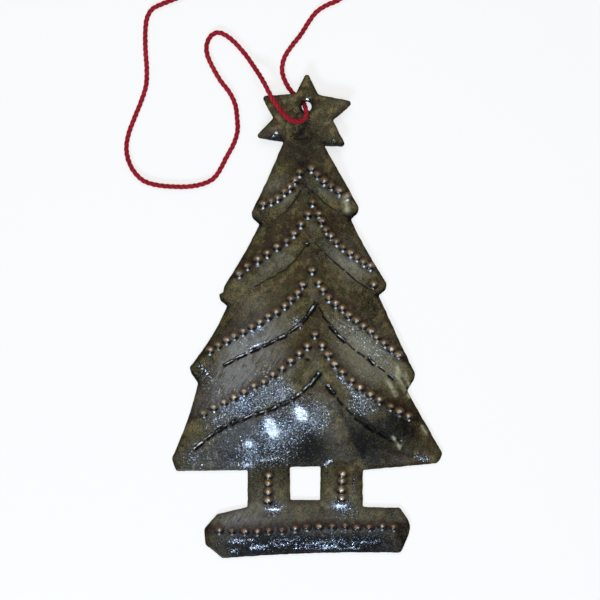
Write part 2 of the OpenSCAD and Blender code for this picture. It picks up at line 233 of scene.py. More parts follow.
yarnSet = {
    "diameter": 1.4,  # millimetres, as are the other lengths
    "plies": 3,
    "plyRadius": 0.37,
    "plyOffset": 0.3,
    "plyShift": 0.037,  # metres, so that the plies don't look alike
    "twistLength": 4.3,  # for one whole turn of the plies
    "wander": 0.5,  # how unevenly a ply lies
    "wanderRate": 900,  # for each metre
    "wanderShift": 31,  # from one ply to the next
    "step": 0.22,
    "plySides": 10,
    "fuzzPerArea": 0.45,  # hairs on a square millimetre
    "fuzzLength": 0.55,
    "fuzzSpread": (0.4, 1.0),  # shares of that length
    "fuzzRadius": 0.012,
    "hairSteps": 4,
    "hairSides": 3,
    "hairBend": ((0.1, 0, 0.5), (0.7, 0, 0.75)),  # middle and end of a hair, in shares of its length
    "tableHeight": 0.7,  # the yarn's middle where it lies on the table
    "starHeight": 3.8,  # and where it lies on the star
    "fibreTurn": 2600,  # twist of the fibres in a ply, for each metre
    "fibreRate": 900,
    "fibreAround": 3.2,
    "fibreScale": 1.6,
    "fibreBump": (0.7, 0.00008),  # strength, and height in metres
    "tuftRate": 260.0,
    "specular": 0.2,
    "sheen": (0.12, 0.5),  # weight and roughness
    "red": (0.31, 0.006, 0.017),
    "shadedDeepRed": (0.085, 0.002, 0.006),
    "highlightPaleRed": (0.55, 0.03, 0.05),
    "sheenRed": (1.0, 0.2, 0.25, 1),
}

# x and y, and a share from the table, 0, up to the star's face, 1
frontRoute = [
    (-0.55, 55.5, 0.58), (-0.35, 54.8, 0.85), (-0.2, 54.1, 1), (-0.2, 53.3, 1.07), (-0.6, 52.3, 1.09),
    (-1.7, 51.5, 1.06), (-3.2, 51.4, 1.02), (-4.8, 52.1, 1), (-6.4, 53.6, 1), (-8.2, 56, 1), (-9.8, 58.6, 1),
    (-11.2, 61.4, 0.97), (-12.8, 64.2, 0.62), (-14.6, 67, 0.18), (-16.6, 69.8, 0.02), (-19.4, 72.9, 0),
    (-22, 74.8, 0), (-24, 75.2, 0), (-25.7, 74, 0), (-26.6, 71.6, 0), (-26.2, 68.8, 0), (-24.7, 65.6, 0),
    (-22.8, 62.4, 0), (-20.5, 59.4, 0), (-19, 56.2, 0), (-18.5, 52.6, 0), (-18.4, 49.2, 0), (-19.4, 45.8, 0),
    (-21.3, 42.3, 0), (-23, 39, 0), (-24.8, 36.6, 0), (-27.6, 35.2, 0), (-31.4, 34.5, 0), (-35.6, 34.5, 0),
    (-39.6, 34.9, 0), (-43, 35.9, 0), (-45.4, 38, 0), (-47.1, 41, 0), (-47.8, 44.6, 0), (-47.2, 48.4, 0),
    (-45.6, 52.8, 0), (-43.9, 57, 0), (-42.6, 61.2, 0), (-42.4, 65.6, 0), (-42.7, 70.2, 0), (-42.8, 74.8, 0),
    (-42.4, 78.8, 0), (-41, 81.4, 0), (-38.4, 82.8, 0), (-34.8, 84.2, 0), (-30, 86.2, 0), (-24, 88.4, 0),
    (-18, 90, 0), (-12, 91.2, 0), (-6, 92, 0), (0, 92.4, 0), (6, 92.4, 0.02), (11, 92.2, 0.1),
    (15.6, 92, 0.28),
]
backRoute = [
    (-0.55, 55.5, 0.58), (-0.65, 56, 0.3), (-0.9, 56.6, 0.14), (-1.3, 57.2, 0.05), (-2, 57.9, 0),
    (-3.4, 58.9, 0), (-5, 60.9, 0), (-6.2, 63.4, 0), (-6.6, 66, 0), (-5.8, 69, 0), (-3.8, 72, 0),
    (-1.5, 74.9, 0), (0.3, 77.8, 0), (2.4, 80.6, 0), (5.2, 82.5, 0), (8.2, 83.8, 0), (11, 86, 0.05),
    (13.4, 88.6, 0.15), (15.8, 91, 0.28),
]
tailRoutes = [
    [(15.8, 91, 0.28), (17, 91.2, 0.4), (18.4, 92, 0.42), (19.8, 92.2, 0.28), (22.6, 92.6, 0.1),
     (25.4, 93.6, 0), (28, 95.4, 0), (29.8, 97.8, 0)],
    [(15.6, 92, 0.28), (17, 92.2, 0.36), (18.4, 91.7, 0.4), (19.6, 91.4, 0.28), (22.2, 90.4, 0.1),
     (25, 89.8, 0), (28, 90, 0), (30.8, 90.8, 0)],
]


def runAlong(points):
    # the way from the first point to each
    return np.concatenate([[0], np.cumsum(np.linalg.norm(np.diff(points, axis=0), axis=1))])


def smoothPath(points, step, cuts=12):
    # a curve through the points, cut into even steps
    points = np.array(points, float)
    padded = np.vstack([2 * points[0] - points[1], points, 2 * points[-1] - points[-2]])
    t = np.linspace(0, 1, cuts, endpoint=False)[:, None]
    bits = []
    for a, b, c, d in zip(padded, padded[1:], padded[2:], padded[3:]):
        bits.append(0.5 * (2 * b + (c - a) * t + (2 * a - 5 * b + 4 * c - d) * t ** 2
                           + (3 * b - a - 3 * c + d) * t ** 3))
    fine = np.vstack([*bits, points[-1:]])
    run = runAlong(fine)
    even = np.linspace(0, run[-1], max(2, round(run[-1] / step)))
    return np.column_stack([np.interp(even, run, column) for column in fine.T])


def lay(route, s):
    # route in metres, at the heights where the yarn lies
    points = np.array(route, float)
    points[:, 2] = s["tableHeight"] + (s["starHeight"] - s["tableHeight"]) * points[:, 2]
    return smoothPath(points, s["step"] * 2) * mm


def yarnTree(s):
    tree, given, names = shapeTree("twisted yarn", [
        "Ply Radius", "Ply Offset", "Twist Length", "Step", "Fuzz Density", "Fuzz Length", "Fuzz Radius",
        "Seed", "Finish"])
    node = partial(Wire.node, tree)

    def between(low, high, seed):
        return node("FunctionNodeRandomValue", {2: low, 3: high, "Seed": seed}, 1, data_type="FLOAT")

    path = node("GeometryNodeResampleCurve", {"Curve": given["Geometry"], "Length": given["Step"]},
                mode="LENGTH")
    run = node("GeometryNodeSplineParameter", out="Length")
    tangent = node("GeometryNodeInputTangent")
    normal = node("GeometryNodeInputNormal")
    ring = node("GeometryNodeCurvePrimitiveCircle",
                {"Resolution": s["plySides"], "Radius": given["Ply Radius"]})
    ring = store(ring, "around", node("GeometryNodeInputPosition").vector("NORMALIZE"), "FLOAT_VECTOR")
    tubes = []
    for ply in range(s["plies"]):
        turn = run / given["Twist Length"] * (2 * math.pi) + 2 * math.pi * ply / s["plies"]
        out = node("ShaderNodeVectorRotate", {"Vector": normal, "Axis": tangent, "Angle": turn},
                   rotation_type="AXIS_ANGLE")
        wander = node("ShaderNodeTexNoise",
                      {"W": run * s["wanderRate"] + s["wanderShift"] * ply, "Scale": 1.0, "Detail": 1.0},
                      noise_dimensions="1D") * s["wander"] + (1 - s["wander"] / 2)
        strand = node("GeometryNodeSetPosition",
                      {"Geometry": path, "Offset": out.scaled(given["Ply Offset"] * wander)})
        strand = store(strand, "along", run + s["plyShift"] * ply)
        tubes.append(node("GeometryNodeCurveToMesh",
                          {"Curve": strand, "Profile Curve": ring, "Fill Caps": True}))
    middle = node("GeometryNodeCurveToMesh", {"Curve": path})
    outward = node("GeometryNodeProximity", {0: middle}, "Distance", target_element="EDGES")
    plies = store(joinAll(tubes), "outward", outward / (given["Ply Radius"] + given["Ply Offset"]))

    # hairs that stand on the plies
    roots = node("GeometryNodeDistributePointsOnFaces",
                 {"Mesh": plies, "Density": given["Fuzz Density"], "Seed": given["Seed"]})
    bend, end = s["hairBend"]
    hairLine = node("GeometryNodeCurveQuadraticBezier",
                    {"Resolution": s["hairSteps"], "Start": (0, 0, 0), "Middle": bend, "End": end})
    hairRing = node("GeometryNodeCurvePrimitiveCircle",
                    {"Resolution": s["hairSides"], "Radius": given["Fuzz Radius"] / given["Fuzz Length"]})
    hair = node("GeometryNodeCurveToMesh", {"Curve": hairLine, "Profile Curve": hairRing, "Fill Caps": True})
    spin = node("ShaderNodeCombineXYZ", {"Z": between(0.0, 2 * math.pi, given["Seed"])})
    turned = node("FunctionNodeRotateRotation", {0: roots.sibling("Rotation"), 1: spin},
                  rotation_space="LOCAL")
    size = between(*s["fuzzSpread"], given["Seed"] + 1.0)
    fuzz = node("GeometryNodeInstanceOnPoints", {"Points": roots, "Instance": hair, "Rotation": turned,
                                                 "Scale": given["Fuzz Length"] * size})
    closeTree(tree, joinAll([plies, fuzz]), given["Finish"])
    return tree, names


def yarnFinish(s):
    made, tree, shader = newMaterial("crimson yarn")
    node = partial(Wire.node, tree)
    along = mark(tree, "along")
    around = mark(tree, "around", "Vector")
    turned = node("ShaderNodeVectorRotate", {"Vector": around, "Angle": along * s["fibreTurn"]},
                  rotation_type="Z_AXIS")
    lengthwise = node("ShaderNodeCombineXYZ", {"Z": along * s["fibreRate"]})
    fibres = turned.scaled(s["fibreAround"]).vector("ADD", lengthwise).clouds(s["fibreScale"], 4.0)
    tufts = node("ShaderNodeTexCoord", out="Object").clouds(s["tuftRate"], 2.0)
    # painted shade: the plies darken towards the yarn's middle; painted highlight: paler red on their outer
    # sides
    lit = mark(tree, "outward").ramp(0.6, 0.95)
    colour = blendColour((lit * 0.8 + fibres.ramp(0.3, 0.62) * 0.4).clamp(), s["shadedDeepRed"], s["red"])
    colour = blendColour(lit * fibres.ramp(0.4, 0.7) * tufts.ramp(0.3, 0.65), colour, s["highlightPaleRed"])
    strength, height = s["fibreBump"]
    weight, roughness = s["sheen"]
    connect(tree, shader.inputs, {
        "Base Color": colour, "Roughness": 0.95 - fibres * 0.2, "Specular IOR Level": s["specular"],
        "Normal": node("ShaderNodeBump", {"Strength": strength, "Distance": height, "Height": fibres}),
        "Sheen Weight": weight, "Sheen Roughness": roughness, "Sheen Tint": s["sheenRed"]})
    return made


def twistYarn(name, paths, s, tree, names, finish, seed):
    data = bpy.data.curves.new(name, "CURVE")
    data.dimensions = "3D"
    for path in paths:
        spline = data.splines.new("POLY")
        spline.points.add(len(path) - 1)
        spline.points.foreach_set("co", np.column_stack([path, np.ones(len(path))]).ravel())
    lengths = {"Ply Radius": "plyRadius", "Ply Offset": "plyOffset", "Twist Length": "twistLength",
               "Step": "step", "Fuzz Length": "fuzzLength", "Fuzz Radius": "fuzzRadius"}
    made = runTree(addObject(name + "Path", data), name, tree, names, {
        **{key: s[size] * mm for key, size in lengths.items()},
        "Fuzz Density": s["fuzzPerArea"] / mm ** 2, "Seed": seed, "Finish": finish})
    made.data.shade_smooth()
    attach(made, "hanging_cord")
    return made


# Knot: the two ends go through a few tight turns of yarn and come out as tails
knotSet = {
    "centre": (18.0, 91.8, 2.1),
    "turns": 3.25,
    "turnRadius": 1.36,
    "length": 3.9,
    "tuck": 0.55,  # radius where the turns' ends tuck in
    "tuckShare": 0.08,  # share of the turns at each end that tucks in
    "points": 90,
}


def knotTurns(s, yarn):
    share = np.linspace(0, 1, s["points"])
    angle = 2 * math.pi * s["turns"] * share
    ends = np.minimum(1, np.minimum(share, 1 - share) / s["tuckShare"])
    radius = s["tuck"] + (s["turnRadius"] - s["tuck"]) * ends
    x, y, z = s["centre"]
    turns = np.column_stack([x + s["length"] * (share - 0.5), y + radius * np.cos(angle),
                             z + radius * np.sin(angle)])
    return smoothPath(turns, yarn["step"] * 2) * mm


def makeYarn(s):
    tree, names = yarnTree(s)
    finish = yarnFinish(s)
    knotPaths = [*[lay(route, s) for route in tailRoutes], knotTurns(knotSet, s)]
    knot = twistYarn("yarn_knot", knotPaths, s, tree, names, finish, 5)
    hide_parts("cord_knot")
    for name, route, node, seed, ends in [("yarn_front_strand", frontRoute, "cord_front_strand", 1, [knot]),
                                          ("yarn_back_strand", backRoute, "cord_back_strand", 2, [])]:
        path = lay(route, s)
        length = float(runAlong(path)[-1])
        strand = twistYarn(name, [path], s, tree, names, finish, seed)
        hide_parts(node)
        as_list(ends)
        print(name, "length in mm:", round(length / mm, 1))


makeYarn(yarnSet)
print("yarn made")


# Tree: one hammered sheet, cut to a star, four boughs, two legs and a base. Lengths are in millimetres

treeSet = {
    "thickness": 1.0,
    "swell": 2.6,  # height of the lowest bough's crest
    "starLift": 2.0,  # the sheet bends up towards the star
    "bend": (29.3, 44.9),  # levels where it bends
    "boughWidth": (28.4, 44.4, 59.6, 71.4),
    "tipLevel": (28.3, 7.4, -14.2, -36.6),
    "boughShift": (-0.5, -1.1, -1.2, 0.0),
    "boughTilt": (0.65, 1.35, -0.95, 0.75),
    "edgeHollow": ((0.3, 0.0), (0.5, 0.4), (0.9, 0.1), (0.6, 0.1)),
    "edgeShares": (0.12, 0.88, 6),  # first, last and number of points on a bough's edge
    "tipCut": (0.4, 1.6),
    "burr": (1, -1, (1.1, 0.3)),  # bough and side of a tip with a burr, and the nick above it
    "notchStep": (2.2, 3.4),
    "notchSink": (-0.3, -0.3, 0.9),
    "neck": ((-6.2, 46.1), (4.5, 45.1)),
    "hemLevel": -40.5,
    "hemBow": 2.2,
    "hemCorner": ((-34.6, -40.75), (34.4, -38.65)),
    "trunkShift": -0.5,
    "trunkWidth": 30.4,
    "baseTop": -50.3,
    "baseCorner": ((-23.9, -52.3), (24.4, -50.5)),
    "baseEnd": ((-27.2, -56.1), (27.2, -55.2)),  # where the line of its dots ends
    "baseSide": (((-27.2, -56.1), (-26.8, -60.2)),
                 ((26.8, -53.6), (27.15, -55.2), (27.05, -57.0), (25.9, -59.8))),
    "baseFoot": ((-22.4, -63.8), (24.8, -62.3)),
    "footHollow": 0.6,
    "footShares": (0.1, 0.9, 9),
    "window": (8.2, 8.8),
    "windowTop": -39.65,
    "windowSkew": (0.2, 0.1),  # how far its corners are off the square
    "hole": ((-0.1, 55.5), 1.6),
    "holeDraw": 0.8,  # the punch drew the hole's back edge in
    "starCentre": (-0.5, 52.0),
    "starBlunt": 0.9,  # width of its tips
    "sharpFrom": 50,  # degrees, angle from which an edge is sharp
}

# Star: angle and radius of each tip and notch, from the top tip round to the left
starTips = [(87.6, 11.8), (151.6, 12.4), (199.5, 13.2), (-33.5, 12.2), (20.6, 12.8)]
starNotches = [(110, 7.2), (177, 8.3), None, (-1.6, 7.3), (62.7, 7.4)]

# Marks on each bough: the apex, the sag and dip of its left and right arms, and how many marks each has
dotRows = [
    {"apex": (-0.4, 40.5), "bow": ((3.2, 0.0), (0.8, 0.0)), "count": (7, 6), "end": 0.87, "start": 0.12},
    {"apex": (1.8, 30.3), "bow": ((0.9, 2.8), (1.8, 2.8)), "count": (9, 10), "end": 0.83, "start": 0.07},
    {"apex": (1.2, 12.2), "bow": ((0.6, 3.2), (0.0, 2.4)), "count": (13, 13), "end": 0.92, "start": 0.07},
    {"apex": (2.1, -4.4), "bow": ((0.9, 2.6), (3.0, 1.8)), "count": (12, 11), "end": 0.53, "start": 0.06}]
chiselRows = [
    {"apex": (-0.8, 35.3), "bow": ((2.3, 0.8), (0.8, 0.0)), "count": (3, 3), "reach": (0.6, 0.7)},
    {"apex": (0.6, 21.1), "bow": ((0.3, 3.0), (1.0, 0.0)), "count": (5, 5), "reach": (0.68, 0.84)},
    {"apex": (2.6, 3.6), "bow": ((-0.5, 3.2), (0.5, 2.6)), "count": (7, 8), "reach": (0.8, 0.88)},
    {"apex": (3.3, -14.6), "bow": ((-1.8, 4.1), (4.3, 2.0)), "count": (10, 7), "reach": (0.86, 0.68)}]

reliefSet = {
    "crestShare": (0.55, 0.75, 0.9, 1.0),
    "chiselShare": (0.4, 0.45, 0.5, 0.6),
    "fall": 2.4,  # how late a bough falls off towards its edges
    "leastGap": 0.01,  # between one line and the next
    "panelPeak": (1.4, -29.5),  # middle of the lowest bough's panel
    "panelShare": 0.28,
    "panelFall": 2.0,
    "legSwell": 0.8,
    "legShift": 0.2,  # the pad on a leg is a little above its middle
    "legGrow": 0.9,  # and a little longer
    "legEase": (0.8, 0.35),  # shares over which its sides and ends rise
    "baseSwell": 1.2,
    "baseCrest": -55.3,
    "baseInset": (0.6, 0.5),  # flat strip along its top and foot
    "baseFall": 6,
    "soften": 2.3,  # radius over which creases are eased
    "blowFall": 1.6,  # how soon a hammer blow falls off
    "dents": ((5.0, 0.12), (1.35, 0.05)),  # size and height of the sheet's soft unevenness
    "calmRim": 2.5,  # the edge is even
    "rimFall": 0.22,  # how far the shears pressed the edge down
    "rimWidth": 0.6,
}

# Hammer blows from behind: place, radius and height of each soft bulge
hammerBlows = [
    (-10, -27, 3.6, 0.22), (-2, -23.8, 3.4, 0.2), (-15.6, -32, 3.2, 0.18), (-22, -34, 3.2, 0.15),
    (-6.5, -32, 3.2, 0.12), (-12.5, -36, 3, 0.12), (13, -31, 4, 0.3), (-8, -8.5, 4, 0.15),
    (-17.5, -13, 3.6, 0.15), (-24, -21.5, 3.2, 0.15), (-14, -20, 3.4, 0.12), (-12, 12, 4, 0.12),
]

# Creases pressed up by the tools: both ends, width and height of each
creases = [
    ((10.2, 31.6), (10.6, 28.4), 0.7, 0.3), ((23.4, -14.8), (24.6, -17.2), 0.4, 0.25),
    ((24.6, -17.2), (27, -21.2), 0.3, 0.25), ((22.8, -31.8), (24.6, -34.5), 0.35, 0.2),
    ((25.9, -15), (27.4, -18.6), 0.3, 0.2), ((30.4, -28.8), (31.4, -30.8), 0.3, 0),
    ((23.8, -13.2), (24.6, -15.4), 0.45, 0), ((21.3, -17), (23.4, -20.6), 0.5, 0),
]

# Single strokes: both ends and boldness, and a dot off the rows
looseStrokes = [
    ((2.5, 3.5), (0.5, 0.8), 1.15), ((3.3, -14.8), (0.9, -18), 1.15), ((3.1, 2.6), (4.2, 0.9), 0.4),
    ((-0.2, 19.2), (0.2, 19.3), 1.2), ((0, -11.3), (0.4, -11.2), 0.6),
]
looseDots = [(17.6, 8.6)]


def tip(s, bough, side):
    return np.array([s["boughShift"][bough] + side * s["boughWidth"][bough] / 2,
                     s["tipLevel"][bough] + side * s["boughTilt"][bough]])


def tipFoot(s, bough, side):
    # the lower corner of a tip
    return tip(s, bough, side) - (side * s["tipCut"][0], s["tipCut"][1])


def notch(s, bough, side):
    stepIn, drop = s["notchStep"]
    return tip(s, bough, side) - (side * stepIn, drop + s["notchSink"][bough])


def onEdge(s, bough, side, share):
    top = np.array(s["neck"][side > 0]) if bough == 0 else notch(s, bough - 1, side)
    hollow = s["edgeHollow"][bough][side > 0] * 4 * share * (1 - share)
    return top + (tip(s, bough, side) - top) * share - (side * hollow, 0)


def starPoint(s, angle, radius):
    turn = math.radians(angle)
    return np.array(s["starCentre"]) + radius * np.array([math.cos(turn), math.sin(turn)])


def starTip(s, index):
    # the two corners of a blunt tip, anticlockwise
    angle, radius = starTips[index]
    turn = math.radians(angle)
    aside = np.array([-math.sin(turn), math.cos(turn)]) * s["starBlunt"] / 2
    return [starPoint(s, angle, radius) - aside, starPoint(s, angle, radius) + aside]


def sideOutline(s, side):
    # one side of the tree from the neck down to the foot of the base
    corners = [np.array(s["neck"][side > 0])]
    for bough in range(4):
        corners += [onEdge(s, bough, side, share) for share in np.linspace(*s["edgeShares"])]
        corners += [tip(s, bough, side) + s["burr"][2]] if (bough, side) == s["burr"][:2] else []
        corners += [tip(s, bough, side), tipFoot(s, bough, side)]
        if bough < 3:
            corners.append(notch(s, bough, side))
    leg = s["trunkShift"] + side * s["trunkWidth"] / 2
    rest = (s["hemCorner"][side > 0], (leg, s["hemLevel"]), (leg, s["baseTop"]), s["baseCorner"][side > 0],
            *s["baseSide"][side > 0], s["baseFoot"][side > 0])
    return corners + [np.array(corner) for corner in rest]


def treeOutline(s):
    # anticlockwise from the star's top
    loop = []
    for index in (0, 1, 2):
        loop += starTip(s, index)
        if starNotches[index]:
            loop.append(starPoint(s, *starNotches[index]))
    loop += sideOutline(s, -1)
    left, right = [np.array(corner) for corner in s["baseFoot"]]
    for t in np.linspace(*s["footShares"]):
        loop.append(left + (right - left) * t + (0, 4 * s["footHollow"] * t * (1 - t)))
    loop += sideOutline(s, 1)[::-1]
    for index in (3, 4):
        loop += starTip(s, index)
        loop.append(starPoint(s, *starNotches[index]))
    return np.array(loop)


def alongside(ahead):
    # unit vectors to the right of each direction
    return np.column_stack([ahead[:, 1], -ahead[:, 0]]) / np.linalg.norm(ahead, axis=1)[:, None]


def cutEdge(m, loop, share, seed):
    # cuts a closed outline into short steps, eases its corners and lets the shears wander
    closed = np.vstack([loop, loop[:1]])
    run = runAlong(closed)
    even = np.linspace(0, run[-1], round(run[-1] / m["edgeStep"]), endpoint=False)
    points = np.column_stack([np.interp(even, run, column) for column in closed.T])
    for _ in range(m["rounding"]):
        points = 0.5 * points + 0.25 * (np.roll(points, 1, axis=0) + np.roll(points, -1, axis=0))
    out = alongside(np.roll(points, -1, axis=0) - np.roll(points, 1, axis=0))
    shift = [sum(part * noise.noise((x * rate, y * rate, seed)) for rate, part in m["waves"])
             for x, y in points]
    return points + out * np.array(shift)[:, None] * (m["wave"] * share), out


def armLine(apex, end, bow, t):
    # an arm hangs from its apex: sag is its drop at the middle, dip its extra drop near the apex
    t = np.asarray(t, float)
    bent = np.clip(t, 0, 1)
    sag, dip = bow
    y = (apex[1] + (end[1] - apex[1]) * t - sag * 4 * bent * (1 - bent)
         - dip * 256 / 27 * bent * (1 - bent) ** 3)
    return np.column_stack([apex[0] + (end[0] - apex[0]) * t, y])


def lineAt(apex, ends, bows, x):
    # level of a bough's line at each x, and how far that is towards the outline
    level, share = np.zeros(len(x)), np.zeros(len(x))
    for side in (0, 1):
        here = x >= apex[0] if side else x < apex[0]
        share[here] = (x[here] - apex[0]) / (ends[side][0] - apex[0])
        level[here] = armLine(apex, ends[side], bows[side], share[here])[:, 1]
    return level, share


def dotEnds(s, bough):
    return [onEdge(s, bough, side, dotRows[bough]["end"]) for side in (-1, 1)]


def chiselEnds(s, bough):
    return [notch(s, bough, side) if bough < 3 else tip(s, bough, side) for side in (-1, 1)]


def ease(t):
    t = np.clip(t, 0, 1)
    return t * t * (3 - 2 * t)


def relief(s, r, points):
    # front height of the smooth sheet above its flat rim
    x, y = points.T
    flat = np.zeros(len(x))
    straight = ((0, 0), (0, 0))
    lines = [(lineAt(np.mean(s["neck"], axis=0), s["neck"], straight, x)[0], flat)]
    for bough in range(4):
        crest = s["swell"] * r["crestShare"][bough]
        for row, ends, share in ((dotRows, dotEnds, 1.0), (chiselRows, chiselEnds, r["chiselShare"][bough])):
            level, out = lineAt(row[bough]["apex"], ends(s, bough), row[bough]["bow"], x)
            lines.append((level, crest * share * (1 - np.minimum(1, out) ** r["fall"])))
    hemTop = (s["trunkShift"], s["hemLevel"] + s["hemBow"])
    hemEnds = [tipFoot(s, 3, side) for side in (-1, 1)]
    panelEnds = [tip(s, 3, side) - (0, s["tipCut"][1] / 2) for side in (-1, 1)]
    level, out = lineAt(r["panelPeak"], panelEnds, straight, x)
    lines.append((level, s["swell"] * r["panelShare"] * (1 - np.minimum(1, out) ** r["panelFall"])))
    lines.append((lineAt(hemTop, hemEnds, straight, x)[0], flat))
    height = np.zeros(len(x))
    for (top, topHeight), (bottom, bottomHeight) in zip(lines, lines[1:]):
        share = (top - y) / np.maximum(top - bottom, r["leastGap"])
        here = (share >= 0) & (share < 1)
        height[here] = (topHeight + (bottomHeight - topHeight) * ease(share))[here]
    return height + legRelief(s, r, x, y) + baseRelief(s, r, x, y)


def legRelief(s, r, x, y):
    # each leg is a long soft pad
    middle, half = [(s["trunkWidth"] + sign * s["window"][0]) / 4 for sign in (1, -1)]
    level = (s["hemLevel"] + s["baseTop"]) / 2
    reach = (s["hemLevel"] - s["baseTop"]) / 2 + r["legGrow"]
    height = np.zeros(len(x))
    for side in (-1, 1):
        u = np.abs(x - s["trunkShift"] - side * middle) / half
        v = np.abs(y - level - r["legShift"]) / reach
        height += r["legSwell"] * ease((1 - u) / r["legEase"][0]) * ease((1 - v) / r["legEase"][1])
    return height


def baseRelief(s, r, x, y):
    # a bar with its crest along the dots
    out = np.minimum(1, np.abs(x) / s["baseEnd"][1][0])
    top = s["baseTop"] - r["baseInset"][0]
    foot, inset = s["baseFoot"][0][1], r["baseInset"][1]
    crest = r["baseCrest"]
    rise = np.where(y > crest, (top - y) / (top - crest), (y - foot - inset) / (crest - foot - inset))
    return r["baseSwell"] * ease(rise) * (1 - out ** r["baseFall"])


def nearLine(points, a, b, width):
    # 1 on a straight line, less beside it
    a, along = np.array(a), np.subtract(b, a)
    t = np.clip((points - a) @ along / (along @ along), 0, 1)
    return np.exp(-(((points - a - t[:, None] * along) / width) ** 2).sum(1))


def nearLines(points, lines):
    return sum(share * nearLine(points, a, b, width) for a, b, width, share in lines)


def nearSpots(points, spots):
    return sum(share * np.exp(-((points - (x, y)) ** 2).sum(1) / radius ** 2)
               for x, y, radius, share in spots)


def unevenness(r, points):
    height = np.zeros(len(points))
    for x, y, radius, blow in hammerBlows:
        height += blow * np.exp(-((points - (x, y)) ** 2).sum(1) / radius ** 2 * r["blowFall"])
    for a, b, width, rise in creases:
        height += rise * nearLine(points, a, b, width)
    for size, amount in r["dents"]:
        height += amount * np.array([noise.noise((p[0] / size, p[1] / size, size)) for p in points])
    return height


def softRelief(s, r, points):
    # the mean of the relief at a point and round it, without sharp creases
    turn = np.arange(6) * math.pi / 3
    round6 = [relief(s, r, points + r["soften"] * np.array([math.cos(a), math.sin(a)])) for a in turn]
    return 0.25 * relief(s, r, points) + 0.125 * np.sum(round6, axis=0)


def evenShares(apex, end, bow, span, count, cuts=200):
    # shares along an arm, the same distance apart
    fine = np.linspace(*span, cuts)
    run = runAlong(armLine(apex, end, bow, fine))
    return np.interp(np.linspace(0, run[-1], count), run, fine)


# Marks that are punched and chiselled into the sheet

punchSet = {
    "dotRadius": 1.14,
    "dotHeight": 0.72,
    "sizeSpread": 0.12,  # how much one dot differs from the next
    "aside": 0.13,  # how far a dot is off its row
    "dotReach": 0.86,  # share of an arm that has dots
    "dimpleShare": 0.85,
    "dome": (0.25, 0.68),  # how softly a dot meets the sheet, and how full it is
    "footAt": (-0.08, -0.98, 0),  # the painted glint at a dot's foot, in shares of its radius
    "sparkTurn": (-1.0, 1.2, 0),  # a painted glint is across from the painted top highlight
    "sparkShift": (0.05, -0.05, 0),
    "legStart": (0.14, 0.08),
    "legStep": 0.22,
    "legDots": 4,
    "baseReach": 0.85,
    "baseSideDots": 7,
    "baseBow": ((0.8, 0.0), (0.0, 0.0)),
    "topHighlightLevels": ((-51, -50, -41, -38, -20, 35), (0.65, 1.6, 1.6, 1, 1, 0.35)),  # strength of the dots' painted top highlight at each level
    "topHighlightSpread": (0.6, 1.1),
    "topHighlightAt": ((-0.12, 0.14), (0.12, 0.08)),  # mean and spread of the painted top highlight's place, x and y
    "grooveWidth": 1.4,
    "grooveDepth": 0.4,
    "lipHeight": 0.1,
    "lip": (1.45, 0.6, 0.2),  # middle, half width and softness, in shares of half the groove
    "grooveWobble": 900.0,  # for each metre
    "grooveBehind": 0.3,  # share of its depth that shows on the back
    "streakAt": 0.3,  # painted bright streak on the groove's upper slope
    "bold": (0.36, 0.4, 0.9, 1.0),  # width of each bough's strokes
    "boldSpread": (0.8, 1.1),
    "faintShare": 0.5,  # of the width, for some: bough, side and number of each
    "faint": ((2, 1, 0), (2, 1, 3), (2, 1, 4), (2, 1, 6), (3, 1, 1), (3, 1, 2), (3, 1, 3)),
    "droop": (3, 0, 0.5, 2.0),  # bough and side of the line that bends down, from where and how far
    "strokeStart": 0.06,
    "strokeShare": (0.9, 0.85, 0.64, 0.62),
    "strokeSpread": (0.9, 1.08),
    "strokeAside": 0.1,
    "strokePoints": 5,
}


def dotSpots(s, p):
    spots = []
    for bough, row in enumerate(dotRows):
        spots += [row["apex"]] if bough else []
        for end, bow, count in zip(dotEnds(s, bough), row["bow"], row["count"]):
            shares = evenShares(row["apex"], end, bow, (row["start"], p["dotReach"]), count)
            spots += list(armLine(row["apex"], end, bow, shares))
    middle = (s["trunkWidth"] + s["window"][0]) / 4
    down = s["hemLevel"] - s["baseTop"]
    for side, start in zip((-1, 1), p["legStart"]):
        x = s["trunkShift"] + side * middle
        spots += [(x, s["hemLevel"] - down * (start + p["legStep"] * k)) for k in range(p["legDots"])]
    for side, bow in enumerate(p["baseBow"]):
        shares = np.arange(side, p["baseSideDots"] + 1) / p["baseSideDots"] * p["baseReach"]
        spots += list(armLine((0, reliefSet["baseCrest"]), s["baseEnd"][side], bow, shares))
    spots = np.array(spots + looseDots, float)
    return spots + rng.normal(0, p["aside"], spots.shape)


def strokeLines(s, p):
    # each stroke as a short row of points, and its boldness
    strokes, bold = [], []
    count = p["strokePoints"]
    for bough, row in enumerate(chiselRows):
        for side, end in enumerate(chiselEnds(s, bough)):
            bow, reach = row["bow"][side], row["reach"][side]
            shares = evenShares(row["apex"], end, bow, (p["strokeStart"], reach), row["count"][side] + 1)
            for number, (a, b) in enumerate(zip(shares, shares[1:])):
                gap = (b - a) * (1 - p["strokeShare"][bough] * rng.uniform(*p["strokeSpread"])) / 2
                wander = rng.normal(0, p["strokeAside"], 2)
                share = np.linspace(a + gap, b - gap, count)
                line = armLine(row["apex"], end, bow, share)
                if (bough, side) == p["droop"][:2]:
                    start, drop = p["droop"][2:]
                    line[:, 1] -= drop * np.maximum(0, (share - start) / (reach - start)) ** 2
                strokes.append(line + np.linspace(wander, -wander, count))
                light = p["faintShare"] if (bough, side, number) in p["faint"] else 1
                bold.append(p["bold"][bough] * light * rng.uniform(*p["boldSpread"]))
    for start, end, width in looseStrokes:
        strokes.append(np.linspace(start, end, count))
        bold.append(width)
    return strokes, bold
